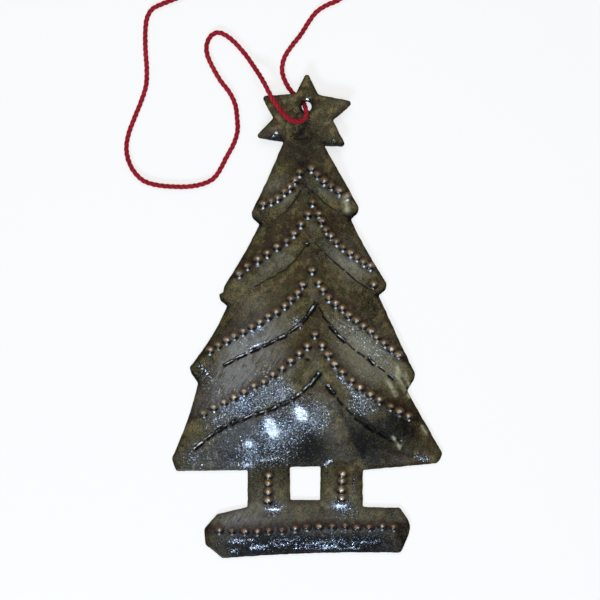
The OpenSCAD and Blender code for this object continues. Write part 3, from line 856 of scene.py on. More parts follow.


# Shades: how strong each finish, painted light and painted shade is at each point of the sheet

shadeSet = {
    "armEnd": (0.9, 0.25),  # share of an arm where a row's shades start to fade, and how softly
    "bandTop": (0.6, 1.6),  # the painted lit band's edge above the dots, and its softness
    "bandFoot": (0.8, 2.2),  # and below the chisel line
    "darkStrip": 3.4,  # reach of the painted dark strip of shade above a row
    # width of the dark brown strip along the base's row of dots
    "baseDarkStrip": 1.5,
    "foldTop": (4.6, -18.0),  # a fold down the lowest panel, with painted shade on its right
    "foldAside": (0.9, 0.43),
    "foldEdge": 0.9,
    "foldReach": 8,
    "foldStart": 5,
    "foldShade": 0.55,
    "baseShade": -55.8,  # the base's lower slope has painted shade below this level
    "baseEdge": 3.2,
    "baseClear": (17, 6, 0.55),  # less so from this far out: where, softness and share
    "tipLine": (0.6, 1.3),  # width and strength of the painted shade along the cut below a tip
    "holeWall": 1.2,  # the hole's wall gets painted black shade and no shine
}

# Patches of each finish: place, radius and strength
patches = {
    "polishAndSheen": [  # lacquer polished away to the steel where the highlights fall, with a painted grey sheen
        (-9.6, -28.8, 2.7, 0.14), (-1.9, -25.3, 2.5, 0.12), (-10, -27.9, 1.5, 0.7), (-9.3, -29.7, 1.6, 0.6),
        (-2.4, -24.5, 1.2, 0.6), (-1.5, -26, 1.6, 0.6), (-15.4, -33.4, 1.1, 0.85), (-8.6, -30.6, 3.7, 0.5),
        (0.8, -26.6, 4.2, 0.52), (-15, -34.8, 3.2, 0.34), (-10, -36.6, 3.2, 0.3), (-22, -36.5, 5, 0.1),
        (-30, -37.5, 4, 0.12), (-6.5, -20.5, 3, 0.5), (-16.5, -22.5, 3.4, 0.5), (-22, -23, 4, 0.22),
        (-11, -17.5, 4, 0.4), (-24, -27, 4.5, 0.18), (-25, -17, 4, 0.25), (-16, -8.5, 5, 0.12),
        (-2.6, -1.8, 1.4, 0.5), (-5.5, -27.5, 5, 0.12), (14.4, -23, 3, 0.42), (-8.6, -50.4, 1.8, 0.45),
        (9.6, -49.6, 2.2, 0.42), (-15, -38.5, 2.5, 0.3), (-5, -35, 5, 0.15), (10, -3, 5, 0.13),
        (19, -8, 4, 0.12), (17, -14.5, 5, 0.12), (-18, -53.2, 4.5, 0.08), (12, -52.8, 5, 0.08),
    ],
    "smokeAndShade": [  # darkened: soot, and painted shade
        (-0.6, 44, 5, 0.45), (20, -34, 8, 0.52), (13, -34, 5, 0.32), (26.5, -29.5, 3.2, 0.6),
        (22, -27, 2.8, 0.5), (0, -36.5, 5, 0.7), (-9, -38.5, 4, 0.4), (10, 24, 5, 0.4), (17, 4, 6, 0.4),
        (-10, 25, 5, 0.35), (-21, 0, 5, 0.4), (4, 18, 4, 0.5), (2, 1.5, 3, 0.4), (-28, -14.5, 4, 0.5),
        (0, 35, 4, 0.5), (-0.1, 55.5, 1.75, 1.8), (2.5, -33.5, 3, 0.6), (-6.3, -27, 1.4, 0.5),
        (-11.6, -33.9, 1.6, 0.5), (0, -31.7, 2.5, 0.4), (-20.9, -37, 2.5, 0.4), (-12.5, -42, 2.5, 0.4),
        (-4, -37.5, 4, 0.4), (5, -36.5, 4, 0.4), (-0.8, 47.5, 3, 0.5),
    ],
    "litPatches": [  # painted light: paler patches
        (-14, 2, 5, 1.1), (9, -3, 5, 0.5), (17, -11.5, 6, 1.8), (13, -13, 4, 1.2), (-16, -53.2, 6, 0.6),
        (-4, -53, 6, 0.6), (8, -52.8, 6, 0.6), (17, -53, 5, 0.5), (24.5, -53.4, 2.5, 1.4), (5, 50.5, 5, 0.25),
        (-7, 50, 4, 0.2), (13.5, 13.5, 4.5, 1.5), (20, -14, 5, 0.8), (10.5, -9.5, 4, 0.8), (8, 18, 3.5, 0.9),
        (-8, 33, 3.5, 1.8), (10, 16, 4, 0.5), (-12, -5.5, 5, 1), (-18, -9.5, 3.5, 0.8), (-17, 8.5, 4, 0.2),
        (-9.5, -45, 5, 0.4), (9, -45, 5, 0.4), (14, -21, 4, 0.5), (15, -5, 5, 0.5), (9.4, 56.5, 1.8, 0.6),
    ],
    "dull": [  # without shine
        (1.4, 26, 2.4, 1), (1.5, 7, 2.4, 1), (2.6, -9, 2.8, 1), (-0.6, 38, 2.2, 1),
    ],
    "paintedSheen": [  # painted sheen, a grey haze
        (-17, -13, 5, 1.4), (-20, -16.5, 4, 0.7), (-23.5, -16.5, 3.5, 0.5), (-9, -11, 4, 0.6),
        (-20.5, -54.4, 4, 0.9), (-14, -52.8, 4, 0.6), (-24, -23, 5, 0.7), (-18, -20, 4, 0.4),
        (-16, -6.5, 4, 0.7), (-9, -3, 3.5, 0.6),
    ],
    "coolSheen": [  # painted cool reflection, bluish
        (-14, -32, 8, 1), (-16.5, -22.5, 4, 0.8), (-9, -19.5, 3, 0.5), (-2, -28.5, 6, 0.9),
        (-21, -36.5, 6.5, 0.7), (-30, -37.5, 4, 0.5), (-16, -60, 7, 1), (-4, -60, 7, 1), (8, -60, 7, 1),
        (19, -60, 6, 1), (-8.6, -50.6, 3, 0.6), (9, -50, 3, 0.6), (-14, -3, 3, 0.8), (-8.6, 47.8, 1.5, 1),
    ],
    "browningAndShade": [  # browner patches
        (-0.6, 43.5, 4.5, 0.9), (27, -31, 3.2, 0.8), (23, -28, 2.5, 0.6),
    ],
}

# Streaks, in the same way: both ends, half width and strength
streaks = {
    # bright streaks and glints: polished steel with painted highlights
    "polishAndSheen": [
        ((-16.9, -39.4), (-14.9, -38.8), 0.32, 0.7), ((-12.2, -38), (-8, -37.5), 0.26, 0.6),
        ((4.7, -39.2), (6.3, -37.9), 0.35, 1.7), ((-10.4, -50.8), (-7.4, -50.9), 0.4, 0.7),
        ((7.2, -49.9), (10.2, -49.8), 0.4, 0.7), ((-14.5, -61), (-10.6, -60.6), 0.4, 1.8),
        ((4.6, -61), (7.6, -60.6), 0.4, 1.7), ((-9, -60.2), (3, -59.8), 0.35, 0.8),
        ((-20, -59.2), (-14, -58.9), 0.35, 1.2), ((-8, -59), (-2, -58.8), 0.3, 1),
        ((-3, -61.2), (4, -60.9), 0.3, 0.8), ((3, -59.4), (10, -59.2), 0.35, 0.8),
        ((8, -61.1), (14, -60.9), 0.3, 1), ((12, -59.6), (19, -59.3), 0.3, 0.9),
        ((-20, -59.7), (18, -59.3), 2.2, 0.22), ((-19.5, -61.9), (-18.5, -61.9), 0.3, 1.6),
        ((-8.9, 47.5), (-8.8, 47.6), 0.28, 2.6), ((-8.1, 48.3), (-8, 48.4), 0.22, 2),
        ((6.9, 46), (7.1, 46), 0.28, 2.6), ((0, 57.3), (0.2, 57.3), 0.22, 2.2),
        ((12.2, -41.5), (12.4, -46.5), 0.3, 0.45), ((28.8, -36.8), (31.6, -37.6), 0.7, 0.6),
        ((-28.6, -12.4), (-26.5, -14.6), 0.4, 0.5), ((-14.8, -3.6), (-11, -2.2), 0.7, 0.7),
        ((-15.4, -8), (-8, -6), 0.4, 0.8), ((8.2, -15.4), (13, -21.2), 0.6, 0.45),
    ],
    # dark lines: painted shade along the star's lower edges and under the lowest bough's right line, and a
    # dark streak down the neck
    "smokeAndShade": [
        ((-8.8, 46.9), (-6.7, 46.8), 0.7, 1.2), ((-12.2, 47.4), (-8, 46.9), 0.4, 1),
        ((3.8, 45.9), (9.4, 45.5), 0.5, 1.2), ((-0.2, 51), (-3, 47), 0.9, 0.6),
        ((13.3, -26.6), (17.9, -29.7), 0.6, 1.5), ((17.9, -29.7), (23.2, -32.3), 0.7, 1.5),
    ],
}


def rowShades(s, h, points):
    # how far a point is on the painted lit band below a row of dots, and in the painted dark strip of shade
    # above it
    x, y = points.T
    band, browningAndShade = np.zeros(len(x)), np.zeros(len(x))
    (fade, fadeEase), (top, topEase), (foot, footEase) = h["armEnd"], h["bandTop"], h["bandFoot"]
    for bough in range(4):
        dotLevel, out = lineAt(dotRows[bough]["apex"], dotEnds(s, bough), dotRows[bough]["bow"], x)
        lineLevel = lineAt(chiselRows[bough]["apex"], chiselEnds(s, bough), chiselRows[bough]["bow"], x)[0]
        within = 1 - ease((out - fade) / fadeEase)
        below = ease((dotLevel - y + top) / topEase) * ease((y - lineLevel + foot) / footEase)
        above = np.where(y > dotLevel - top, np.exp(-((y - dotLevel) / h["darkStrip"]) ** 2), 0)
        band = np.maximum(band, below * within)
        browningAndShade = np.maximum(browningAndShade, above * within)
    # and a dark brown strip along the base's row of dots
    baseLevel = lineAt((0, reliefSet["baseCrest"]), s["baseEnd"], punchSet["baseBow"], x)[0]
    return band, np.maximum(browningAndShade, np.exp(-((y - baseLevel) / h["baseDarkStrip"]) ** 2))


def sheetShades(s, h, flat):
    x, y = flat.T
    shades = {name: nearSpots(flat, spots) for name, spots in patches.items()}
    shades["band"], darkStrip = rowShades(s, h, flat)
    shades["browningAndShade"] = np.maximum(darkStrip, shades["browningAndShade"])
    shades["coolSheen"] = np.minimum(1, shades["coolSheen"])
    shades["polishAndSheen"] = shades["polishAndSheen"] + nearLines(flat, streaks["polishAndSheen"])
    # painted highlight along the creases
    shades["creaseHighlight"] = sum(nearLine(flat, a, b, width) for a, b, width, rise in creases)
    # painted shade right of the fold, on the base's lower slope and along the cut below each tip
    fold = (flat - h["foldTop"]) @ h["foldAside"]
    beyond = ease(fold / h["foldEdge"]) * np.exp(-np.maximum(fold, 0) / h["foldReach"])
    beyond = beyond * ease((h["foldTop"][1] - y) / h["foldStart"])
    start, softness, share = h["baseClear"]
    slope = ease((h["baseShade"] - y) / h["baseEdge"]) * (1 - share * ease((np.abs(x) - start) / softness))
    tipLines = [(tipFoot(s, bough, side), notch(s, bough, side), *h["tipLine"])
                for bough in range(3) for side in (-1, 1)]
    darkening = shades["smokeAndShade"] + nearLines(flat, streaks["smokeAndShade"] + tipLines)
    shades["smokeAndShade"] = darkening + h["foldShade"] * beyond + slope
    return shades


# Sheet: points, triangles and the cut edge

meshSet = {
    "edgeStep": 0.42,
    "rounding": 1,
    "wave": 0.13,  # how far the shears wander
    "waves": ((0.55, 1), (1.7, 0.5)),  # how often for each millimetre, and its share
    "windowWave": 0.7,
    "edgeSeed": (3.0, 9.0),  # of the outline and of the window
    "holeSides": 36,
    "holeSlack": 0.05,
    "gridStep": 0.62,
    "gridRow": 0.866,  # share of that step from one row to the next
    "gridShift": 0.04,
    "gridGap": (0.25, 0.2, 0.33),  # from the edge's points, the dots and the strokes
    "edgeGap": 0.1,  # from the edge's points to those of dots and strokes
    "rails": (0.14, 0.34, 0.62),  # rows of points inside the edge
    "railShare": 0.9,
    "dotRings": ((0.0, 1), (0.32, 8), (0.6, 12), (0.85, 16), (1.08, 16), (1.35, 16)),
    "strokeRails": (-1.0, -0.7, -0.5, -0.32, -0.15, 0, 0.15, 0.32, 0.5, 0.7, 1.0),
    "strokeStep": 0.36,
    "edgeBulge": 0.07,
    "edgeMiddle": (0.42, 0.58),  # shares of back and front in the height of the edge's middle
}


def nearest(points, targets, chunk=4000):
    # distance from each point to the nearest target, and which one it is
    parts = np.array_split(points, len(points) // chunk + 1)
    found = [((part[:, None] - targets[None]) ** 2).sum(2) for part in parts]
    return np.concatenate([np.sqrt(d.min(1)) for d in found]), np.concatenate([d.argmin(1) for d in found])


def inside(points, loop):
    # even-odd test against a closed outline
    result = np.zeros(len(points), bool)
    for (ax, ay), (bx, by) in zip(loop, np.roll(loop, -1, axis=0)):
        spans = (ay > points[:, 1]) != (by > points[:, 1])
        cross = ax + (points[:, 1] - ay) * (bx - ax) / (by - ay if by != ay else 1)
        result ^= spans & (points[:, 0] < cross)
    return result


def onCircle(turn):
    return np.column_stack([np.cos(turn), np.sin(turn)])


def cutLoops(s, m):
    # outline, window and hole, each with its outward directions
    centre, radius = s["hole"]
    turn = np.linspace(0, 2 * math.pi, m["holeSides"], endpoint=False)
    left, top = s["trunkShift"] - s["window"][0] / 2, s["windowTop"]
    right, bottom = left + s["window"][0], top - s["window"][1]
    up, inward = s["windowSkew"]
    window = np.array([(left, top), (right, top + up), (right - inward, bottom), (left + inward, bottom)])
    return [cutEdge(m, treeOutline(s), 1, m["edgeSeed"][0]),
            cutEdge(m, window, m["windowWave"], m["edgeSeed"][1]),
            (np.array(centre) + radius * onCircle(turn), -onCircle(turn))]


def innerPoints(m, p, loops, spots, strokes):
    # points of the sheet, close together round the dots, the strokes and the edges
    edge = np.vstack([loop for loop, out in loops])
    rails = []
    for offset in m["rails"]:
        for loop, out in loops:
            rail = loop - out * offset
            rails.append(rail[nearest(rail, edge)[0] > offset * m["railShare"]])
    rings = []
    for number, spot in enumerate(spots):
        for share, count in m["dotRings"]:
            ring = spot + share * p["dotRadius"] * onCircle(np.arange(count) * 2 * math.pi / count)
            rings.append(ring[nearest(ring, spots)[1] == number])
    rings = np.vstack(rings)
    grooves = []
    for line in strokes:
        fine = smoothPath(line, m["strokeStep"])
        aside = alongside(np.gradient(fine, axis=0))
        grooves += [fine - aside * offset for offset in m["strokeRails"]]
    grooves = np.vstack(grooves)
    low, high = edge.min(0), edge.max(0)
    step = m["gridStep"]
    x, y = np.meshgrid(np.arange(low[0], high[0], step), np.arange(low[1], high[1], step * m["gridRow"]))
    x = x + (np.arange(len(x)) % 2)[:, None] * step / 2
    grid = np.column_stack([x.ravel(), y.ravel()])
    grid += rng.uniform(-m["gridShift"], m["gridShift"], grid.shape)
    grid = grid[inside(grid, loops[0][0])]
    fromEdge, fromDots, fromStrokes = m["gridGap"]
    grid = grid[nearest(grid, edge)[0] > m["rails"][-1] + fromEdge]
    grid = grid[nearest(grid, spots)[0] > m["dotRings"][-1][0] * p["dotRadius"] + fromDots]
    grid = grid[nearest(grid, grooves)[0] > fromStrokes]
    clear = [marks[nearest(marks, edge)[0] > m["rails"][-1] + m["edgeGap"]] for marks in (rings, grooves)]
    return np.vstack([*rails, *clear, grid])


def triangulate(loops, points):
    corners, edges = [], []
    for loop, out in loops:
        first = sum(len(c) for c in corners)
        edges += [(first + k, first + (k + 1) % len(loop)) for k in range(len(loop))]
        corners.append(loop)
    everything = np.vstack([*corners, points])
    verts, _, faces, _, _, _ = geometry.delaunay_2d_cdt([Vector(p) for p in everything], edges, [], 0, 1e-6)
    verts = np.array(verts)
    faces = np.array(faces)
    middle = verts[faces].mean(1)
    metal = inside(middle, loops[0][0]) & ~inside(middle, loops[1][0]) & ~inside(middle, loops[2][0])
    faces = faces[metal]
    used = np.unique(faces)
    renumber = np.zeros(len(verts), int)
    renumber[used] = np.arange(len(used))
    return verts[used], renumber[faces]


def rimEdges(faces):
    # edges of only one triangle, in the direction in which it runs
    edges = np.vstack([faces[:, [0, 1]], faces[:, [1, 2]], faces[:, [2, 0]]])
    known = {tuple(e) for e in edges.tolist()}
    return np.array([e for e in edges.tolist() if (e[1], e[0]) not in known])


def setAttribute(mesh, name, values):
    values = np.asarray(values, np.float32)
    layer = mesh.attributes.new(name, "FLOAT_VECTOR" if values.ndim > 1 else "FLOAT", "POINT")
    layer.data.foreach_set("vector" if values.ndim > 1 else "value", values.ravel())


def sheetMesh(s, r, m, p, spots, strokes):
    # the closed sheet before it is punched: front, back and cut edge
    loops = cutLoops(s, m)
    flat, faces = triangulate(loops, innerPoints(m, p, loops, spots, strokes))
    rim = nearest(flat, np.vstack([loop for loop, out in loops]))[0]
    bent = s["starLift"] * ease((flat[:, 1] - s["bend"][0]) / (s["bend"][1] - s["bend"][0]))
    height = softRelief(s, r, flat) + bent + unevenness(r, flat) * ease(rim / r["calmRim"])
    back = np.maximum(height, 0)
    front = back + s["thickness"] - r["rimFall"] * (1 - ease(rim / r["rimWidth"]))

    # the edge bulges at its middle, and the hole narrows towards the back
    border = rimEdges(faces)
    count = len(flat)
    order = np.unique(border)
    place = {v: k for k, v in enumerate(order.tolist())}
    ahead = {a: b for a, b in border.tolist()}
    behind = {b: a for a, b in border.tolist()}
    out = alongside(np.array([flat[ahead[v]] - flat[behind[v]] for v in order.tolist()]))
    level = m["edgeMiddle"][0] * back + m["edgeMiddle"][1] * front
    middle = np.column_stack([flat[order] + out * m["edgeBulge"], level[order]])
    centre, radius = s["hole"]
    inHole = np.linalg.norm(flat - centre, axis=1) < radius + m["holeSlack"]
    ring = inHole[order]
    middle[ring, :2] = centre + (flat[order][ring] - centre) * (1 + s["holeDraw"]) / 2
    under = flat.copy()
    under[inHole] = centre + (flat[inHole] - centre) * s["holeDraw"]

    verts = np.vstack([np.column_stack([flat, front]), np.column_stack([under, back]), middle])
    mids = 2 * count + np.array([[place[a], place[b]] for a, b in border.tolist()])
    walls = np.vstack([np.column_stack([border[:, 1], border[:, 0], mids[:, 0], mids[:, 1]]),
                       np.column_stack([mids[:, 1], mids[:, 0], border[:, 0] + count, border[:, 1] + count])])
    mesh = bpy.data.meshes.new("sheetBlank")
    mesh.from_pydata(verts * mm, [], [*faces.tolist(), *(faces[:, ::-1] + count).tolist(), *walls.tolist()])
    setAttribute(mesh, "rim", np.concatenate([rim, rim, np.zeros(len(order))]))
    setAttribute(mesh, "behind", np.concatenate([np.zeros(count), np.ones(count), np.full(len(order), 0.5)]))
    # the hole's wall gets painted black shade and no shine
    holeWall = np.concatenate([inHole, ring]) * shadeSet["holeWall"]
    for name, amount in sheetShades(s, shadeSet, flat).items():
        setAttribute(mesh, name, np.concatenate([amount, holeWall * (name in ("smokeAndShade", "dull"))]))
    print("sheet blank:", len(verts), "points,", 2 * len(faces) + 2 * len(walls), "triangles")
    return mesh


def punchTree(p):
    tree, given, names = shapeTree("punch and chisel", [
        "Dots", "Strokes", "Dot Radius", "Dot Height", "Dimple Share", "Groove Width", "Groove Depth",
        "Lip Height", "Finish"])
    node = partial(Wire.node, tree)

    def named(name, kind="FLOAT"):
        return node("GeometryNodeInputNamedAttribute", {"Name": name}, data_type=kind)

    def sample(shape, value, index, kind="FLOAT"):
        return node("GeometryNodeSampleIndex", {"Geometry": shape, "Value": value, "Index": index},
                    data_type=kind)

    place = node("GeometryNodeInputPosition")
    flat = place.vector("MULTIPLY", (1, 1, 0))
    behind = named("behind")
    dots, strokes = [node("GeometryNodeObjectInfo", {"Object": given[key]}, "Geometry")
                     for key in ("Dots", "Strokes")]
    whichDot, whichStroke = [node("GeometryNodeSampleNearest", {"Geometry": marks, "Sample Position": flat})
                             for marks in (dots, strokes)]

    # places on a dot are in shares of its radius
    size = sample(dots, named("size"), whichDot)
    tone, centre = [sample(dots, value, whichDot, "FLOAT_VECTOR")
                    for value in (named("tone", "FLOAT_VECTOR"), place)]
    across = flat.vector("SUBTRACT", centre).scaled(1 / (given["Dot Radius"] * size))
    away = across.vector("LENGTH", out="Value")
    upward = across.part("Y")
    wearAndHighlight = tone.part("Z")
    spark = tone.vector("MULTIPLY_ADD", p["sparkTurn"], p["sparkShift"])
    fromTop, fromFoot, fromSpark = [across.vector("DISTANCE", spot, out="Value") for spot in (
        tone.vector("MULTIPLY", (1, 1, 0)), p["footAt"], spark)]
    soft, full = p["dome"]
    dome = away.math("SMOOTH_MAX", 1 - away * away, 0.0, soft) ** full * given["Dot Height"] * size

    # and beside a stroke in shares of half its width
    bold = sample(strokes, named("bold"), whichStroke)
    beside = node("GeometryNodeProximity", {0: strokes, "Sample Position": flat}, "Distance",
                  target_element="EDGES")
    wobble = flat.clouds(p["grooveWobble"], 1.0) + 0.5
    groove = beside / (given["Groove Width"] * bold * wobble * 0.5)
    aside = flat.vector("SUBTRACT", beside.sibling("Position")).part("Y")
    offStreak = abs(groove * aside.math("SIGN", aside) - p["streakAt"])
    cut = (1 - groove.ramp(0.3, 1.1)) * given["Groove Depth"] * bold
    middle, half, soft = p["lip"]
    lip = groove.math("SMOOTH_MAX", 1 - abs(groove - middle) / half, 0.0, soft)

    front = dome - cut + lip * given["Lip Height"] * bold
    back = dome * given["Dimple Share"] - cut * p["grooveBehind"]
    rise = node("ShaderNodeCombineXYZ", {"Z": front * (1 - behind) + back * behind})
    shaped = node("GeometryNodeSetPosition", {"Geometry": given["Geometry"], "Offset": rise})
    # marks for the finish: painted shade round each dot, on its lower half and in the grooves; painted
    # highlights on each dot's top, at its foot, beside the top and along the grooves
    for name, value in {
            "dotNear": 1 - away.ramp(0.6, 1.9),
            "dotBody": 1 - away.ramp(0.85, 1.1),
            "dotRing": away.ramp(0.8, 1.0) * (1 - away.ramp(1.2, 1.9)),
            "dotTop": ((1 - fromTop.ramp(0.05, 0.6)) * wearAndHighlight).clamp(),
            "dotSpark": (1 - fromSpark.ramp(0.06, 0.22)) * size.ramp(0.97, 1.03),
            "dotShade": (1 - away.ramp(1.0, 1.35)) * (1 - upward.ramp(-0.2, 0.3)),
            "dotFoot": (1 - fromFoot.ramp(0.15, 0.33)) * (1.35 - wearAndHighlight).clamp(),
            "groove": (1 - groove.ramp(0.8, 1.2)) * bold.ramp(0.0, 0.45),
            "grooveBed": (1 - offStreak.ramp(0.06, 0.3)) * bold.ramp(0.65, 0.85)}.items():
        shaped = store(shaped, name, value * (1 - behind))
    closeTree(tree, shaped, given["Finish"])
    return tree, names


def markObject(name, points, edges):
    mesh = bpy.data.meshes.new(name)
    mesh.from_pydata([(x * mm, y * mm, 0) for x, y in points], edges, [])
    return addObject(name, mesh)


steelSet = {
    "olive": (0.126, 0.104, 0.04),  # painted lit bands below the dot rows
    "umber": (0.056, 0.038, 0.0145),
    "moss": (0.072, 0.078, 0.028),
    "rust": (0.062, 0.027, 0.012),
    "sand": (0.2, 0.158, 0.06),
    "litStraw": (0.185, 0.165, 0.11),  # painted light on the paler patches
    "sheenMist": (0.215, 0.207, 0.2),  # painted sheen
    "browningAndShade": (0.02, 0.0085, 0.0035),  # painted shade in dark strips above the rows and rings round the dots; also browner patches
    "chestnut": (0.14, 0.085, 0.036),  # the dots
    "russet": (0.088, 0.04, 0.02),  # those of the base
    "tanHighlight": (0.8, 0.63, 0.46),  # and the painted highlight on their tops
    "copperHighlight": (0.46, 0.31, 0.19),  # on the base
    "litPale": (0.42, 0.4, 0.27),  # painted highlight along the creases
    # black for soot, and for painted shade in grooves, under the dots and along the edges
    "sootAndShadeBlack": (0.0025, 0.002, 0.002),
    "sheenGrey": (0.105, 0.1, 0.094),  # painted grey sheen on the polished spots
    "coolSheenSlate": (0.052, 0.061, 0.08),  # painted cool reflection on the lacquer
    "steel": (0.2, 0.205, 0.215),  # grains of steel under a film of lacquer
    "coolSheenBlue": (0.15, 0.178, 0.235),  # grains with a painted cool reflection
    "singed": (0.13, 0.115, 0.105),  # and warm ones
    "bare": (0.46, 0.5, 0.56),  # and quite bare
    # white for painted highlights: glints at the dots and streaks in the grooves
    "glint": (0.95, 0.97, 1.0),
    "patch": 0.011,  # metres, size of the large clouds
    "speck": 0.0018,  # of the fine ones
    "stain": 0.002,  # of dark stains
    "rub": 0.0012,  # of what is left where it was rubbed
    "topHighlightWear": 0.0007,  # of the breaks in a dot's painted top highlight
    "mottle": {"rust": 0.0034, "moss": 0.0027, "sand": 0.0022},
    "grain": 0.00025,  # and of a grain
    "tilt": 0.2,  # how far the grains are turned
    "brushed": 60,  # degrees, direction of the fine scratches
    "scratch": (0.0036, 0.00034, 0.001),  # metres, length and width of one
    "starLevel": (0.043, 0.05),  # where the star starts
    "baseLevel": (-0.051, -0.0505),  # and the base
    "roughness": 0.4,
    "specular": 0.08,
    "coatRoughness": 0.2,
}


def steelFinish(s):
    made, tree, shader = newMaterial("lacquered drum steel")
    node = partial(Wire.node, tree)
    place = node("ShaderNodeTexCoord", out="Object")

    def cloud(size, detail=3.0, roughness=0.55):
        return place.clouds(1 / size, detail, roughness)

    patch = cloud(s["patch"])
    specks = cloud(s["speck"], 4.0, 0.65)
    turn = (0, 0, math.radians(s["brushed"]))
    brushed = node("ShaderNodeMapping", {"Vector": place, "Rotation": turn, "Scale": s["scratch"]},
                   vector_type="TEXTURE")
    scratches = brushed.clouds(1.0, 2.0)
    grains = node("ShaderNodeTexVoronoi", {"Vector": place, "Scale": 1 / s["grain"]}, "Color")
    chance = node("ShaderNodeSeparateColor", {0: grains}, "Blue")
    lucky = chance.sibling("Red").ramp(0.8, 0.9)
    kind = chance.sibling("Green")
    level = place.part("Y")
    star = level.ramp(*s["starLevel"])
    base = 1 - level.ramp(*s["baseLevel"])
    polishAndSheen, litPatches, paintedSheen, coolSheen, rim, shade, groove, near = [mark(tree, name) for name in (
        "polishAndSheen", "litPatches", "paintedSheen", "coolSheen", "rim", "dotShade", "groove", "dotNear")]
    # painted highlights: on each dot's top, and a glint at its foot
    top = mark(tree, "dotTop") * cloud(s["topHighlightWear"]).ramp(0.3, 0.55)
    foot = mark(tree, "dotFoot") * (1 - base * 0.55)

    # lacquer: painted lit bands, painted shade in dark strips and rings, soot, and painted black shade
    smokeAndShade = (mark(tree, "smokeAndShade") * (0.3 + patch * 1.2)).clamp()
    litPale = litPatches * (0.1 + specks * 0.6 + scratches.ramp(0.4, 0.65) * 0.5)
    # painted shade in strips above the rows and in rings round the dots, and browner patches
    browningAndShade = mark(tree, "browningAndShade").larger(mark(tree, "dotRing") * 0.7) * (0.35 + specks.ramp(0.3, 0.62) * 0.65)
    misty = specks.ramp(0.34, 0.62) * 0.5 + scratches.ramp(0.36, 0.62) * 0.65
    rubbed = polishAndSheen.ramp(0.05, 0.4)
    dark = smokeAndShade * 0.85 + chance.ramp(0.2, 1.0) * 0.6 + cloud(s["stain"]).ramp(0.5, 0.75) * 0.35
    dark = dark + rubbed * (1 - kind.ramp(0.36, 0.44)) * 0.8 + rubbed * cloud(s["rub"]).ramp(0.5, 0.66) * 0.8
    dark = dark.clamp() * (1 - (paintedSheen + litPatches * 0.3).clamp() * 0.5)
    # darker towards the cut edge, and painted shade in the grooves and on each dot's lower half
    for cover in ((1 - rim.ramp(0.2, 1.5)) * 0.5, (1 - rim.ramp(0.05, 0.4)) * 0.8, shade, groove):
        dark = dark.larger(cover)

    # grains of steel, where the lacquer is polished away, and painted highlights: glints on the dots and
    # streaks in the grooves
    wearAndHighlight = (polishAndSheen * (0.55 + specks * 0.9) * (1 - smokeAndShade * 0.6)).clamp() * (1 - near)
    bare = (wearAndHighlight * 1.2 - chance).ramp(-0.05, 0.15) * (1 - groove)
    bright = wearAndHighlight.ramp(0.5, 1.0).larger(lucky * 0.5)
    grooveHighlight = mark(tree, "grooveBed") * (1 - smokeAndShade) * specks.ramp(0.46, 0.6)
    glint = (foot * specks.ramp(0.36, 0.5)).larger(grooveHighlight).larger(mark(tree, "dotSpark") * 0.8)
    film = blendColour(coolSheen, s["steel"], s["coolSheenBlue"])
    film = blendColour(kind.ramp(0.82, 0.87), film, s["singed"])

    # painted lit bands below the dot rows, mixed with larger random patches
    band = (mark(tree, "band") * 0.7 + patch.ramp(0.38, 0.66) * 0.5).clamp()
    body = blendColour(base, s["chestnut"], s["russet"])
    motley = 0.65 + star * 0.35
    colour = blendColour(band, s["umber"], s["olive"])
    for share, hue in [
            (specks.ramp(0.4, 0.64) * 0.6, s["umber"]),
            *[(cloud(size).ramp(0.48, 0.66) * motley, s[hue]) for hue, size in s["mottle"].items()],
            (litPale.clamp(), s["litStraw"]),
            (browningAndShade.clamp(), s["browningAndShade"]),
            (polishAndSheen.ramp(0.05, 0.5) * 0.75, s["sheenGrey"]),
            ((paintedSheen * misty).clamp(), s["sheenMist"]),
            (coolSheen * 0.65, s["coolSheenSlate"]),
            (browningAndShade.clamp() * base * 0.85, s["browningAndShade"]),
            (dark, s["sootAndShadeBlack"]),
            (mark(tree, "creaseHighlight").clamp() * specks.ramp(0.3, 0.6), s["litPale"]),
            (mark(tree, "dotBody") * (1 - shade) * (0.4 + specks * 0.8), body),
            (top, blendColour(base, s["tanHighlight"], s["copperHighlight"])),
            (bare, blendColour(bright, film, s["bare"])),
            (glint, s["glint"])]:
        colour = blendColour(share, colour, hue)

    # each grain is turned a little
    calm = (1 - near * 0.9) * (1 - groove) * (1 - bright * 0.4) * (0.35 + rubbed * 0.65)
    lean = grains.vector("SUBTRACT", (0.5, 0.5, 0.5)).scaled(calm * s["tilt"] * 2)
    upright = node("ShaderNodeNewGeometry", out="Normal")
    lacquer = (0.1 + polishAndSheen ** 2 * 0.4 + near.ramp(0.6, 1.0) * 0.6).clamp()
    connect(tree, shader.inputs, {
        "Base Color": colour, "Normal": upright.vector("ADD", lean).vector("NORMALIZE"),
        "Roughness": s["roughness"] - 0.04 + specks * 0.08 - bare * 0.12 - shade * 0.1 - top * 0.12,
        "Metallic": (bare * 0.9 + top * 0.4).clamp() * (1 - glint * 0.7),
        "Coat Weight": lacquer * (1 - smokeAndShade) * (1 - mark(tree, "dull")),
        "Specular IOR Level": s["specular"], "Coat Roughness": s["coatRoughness"]})
    return made


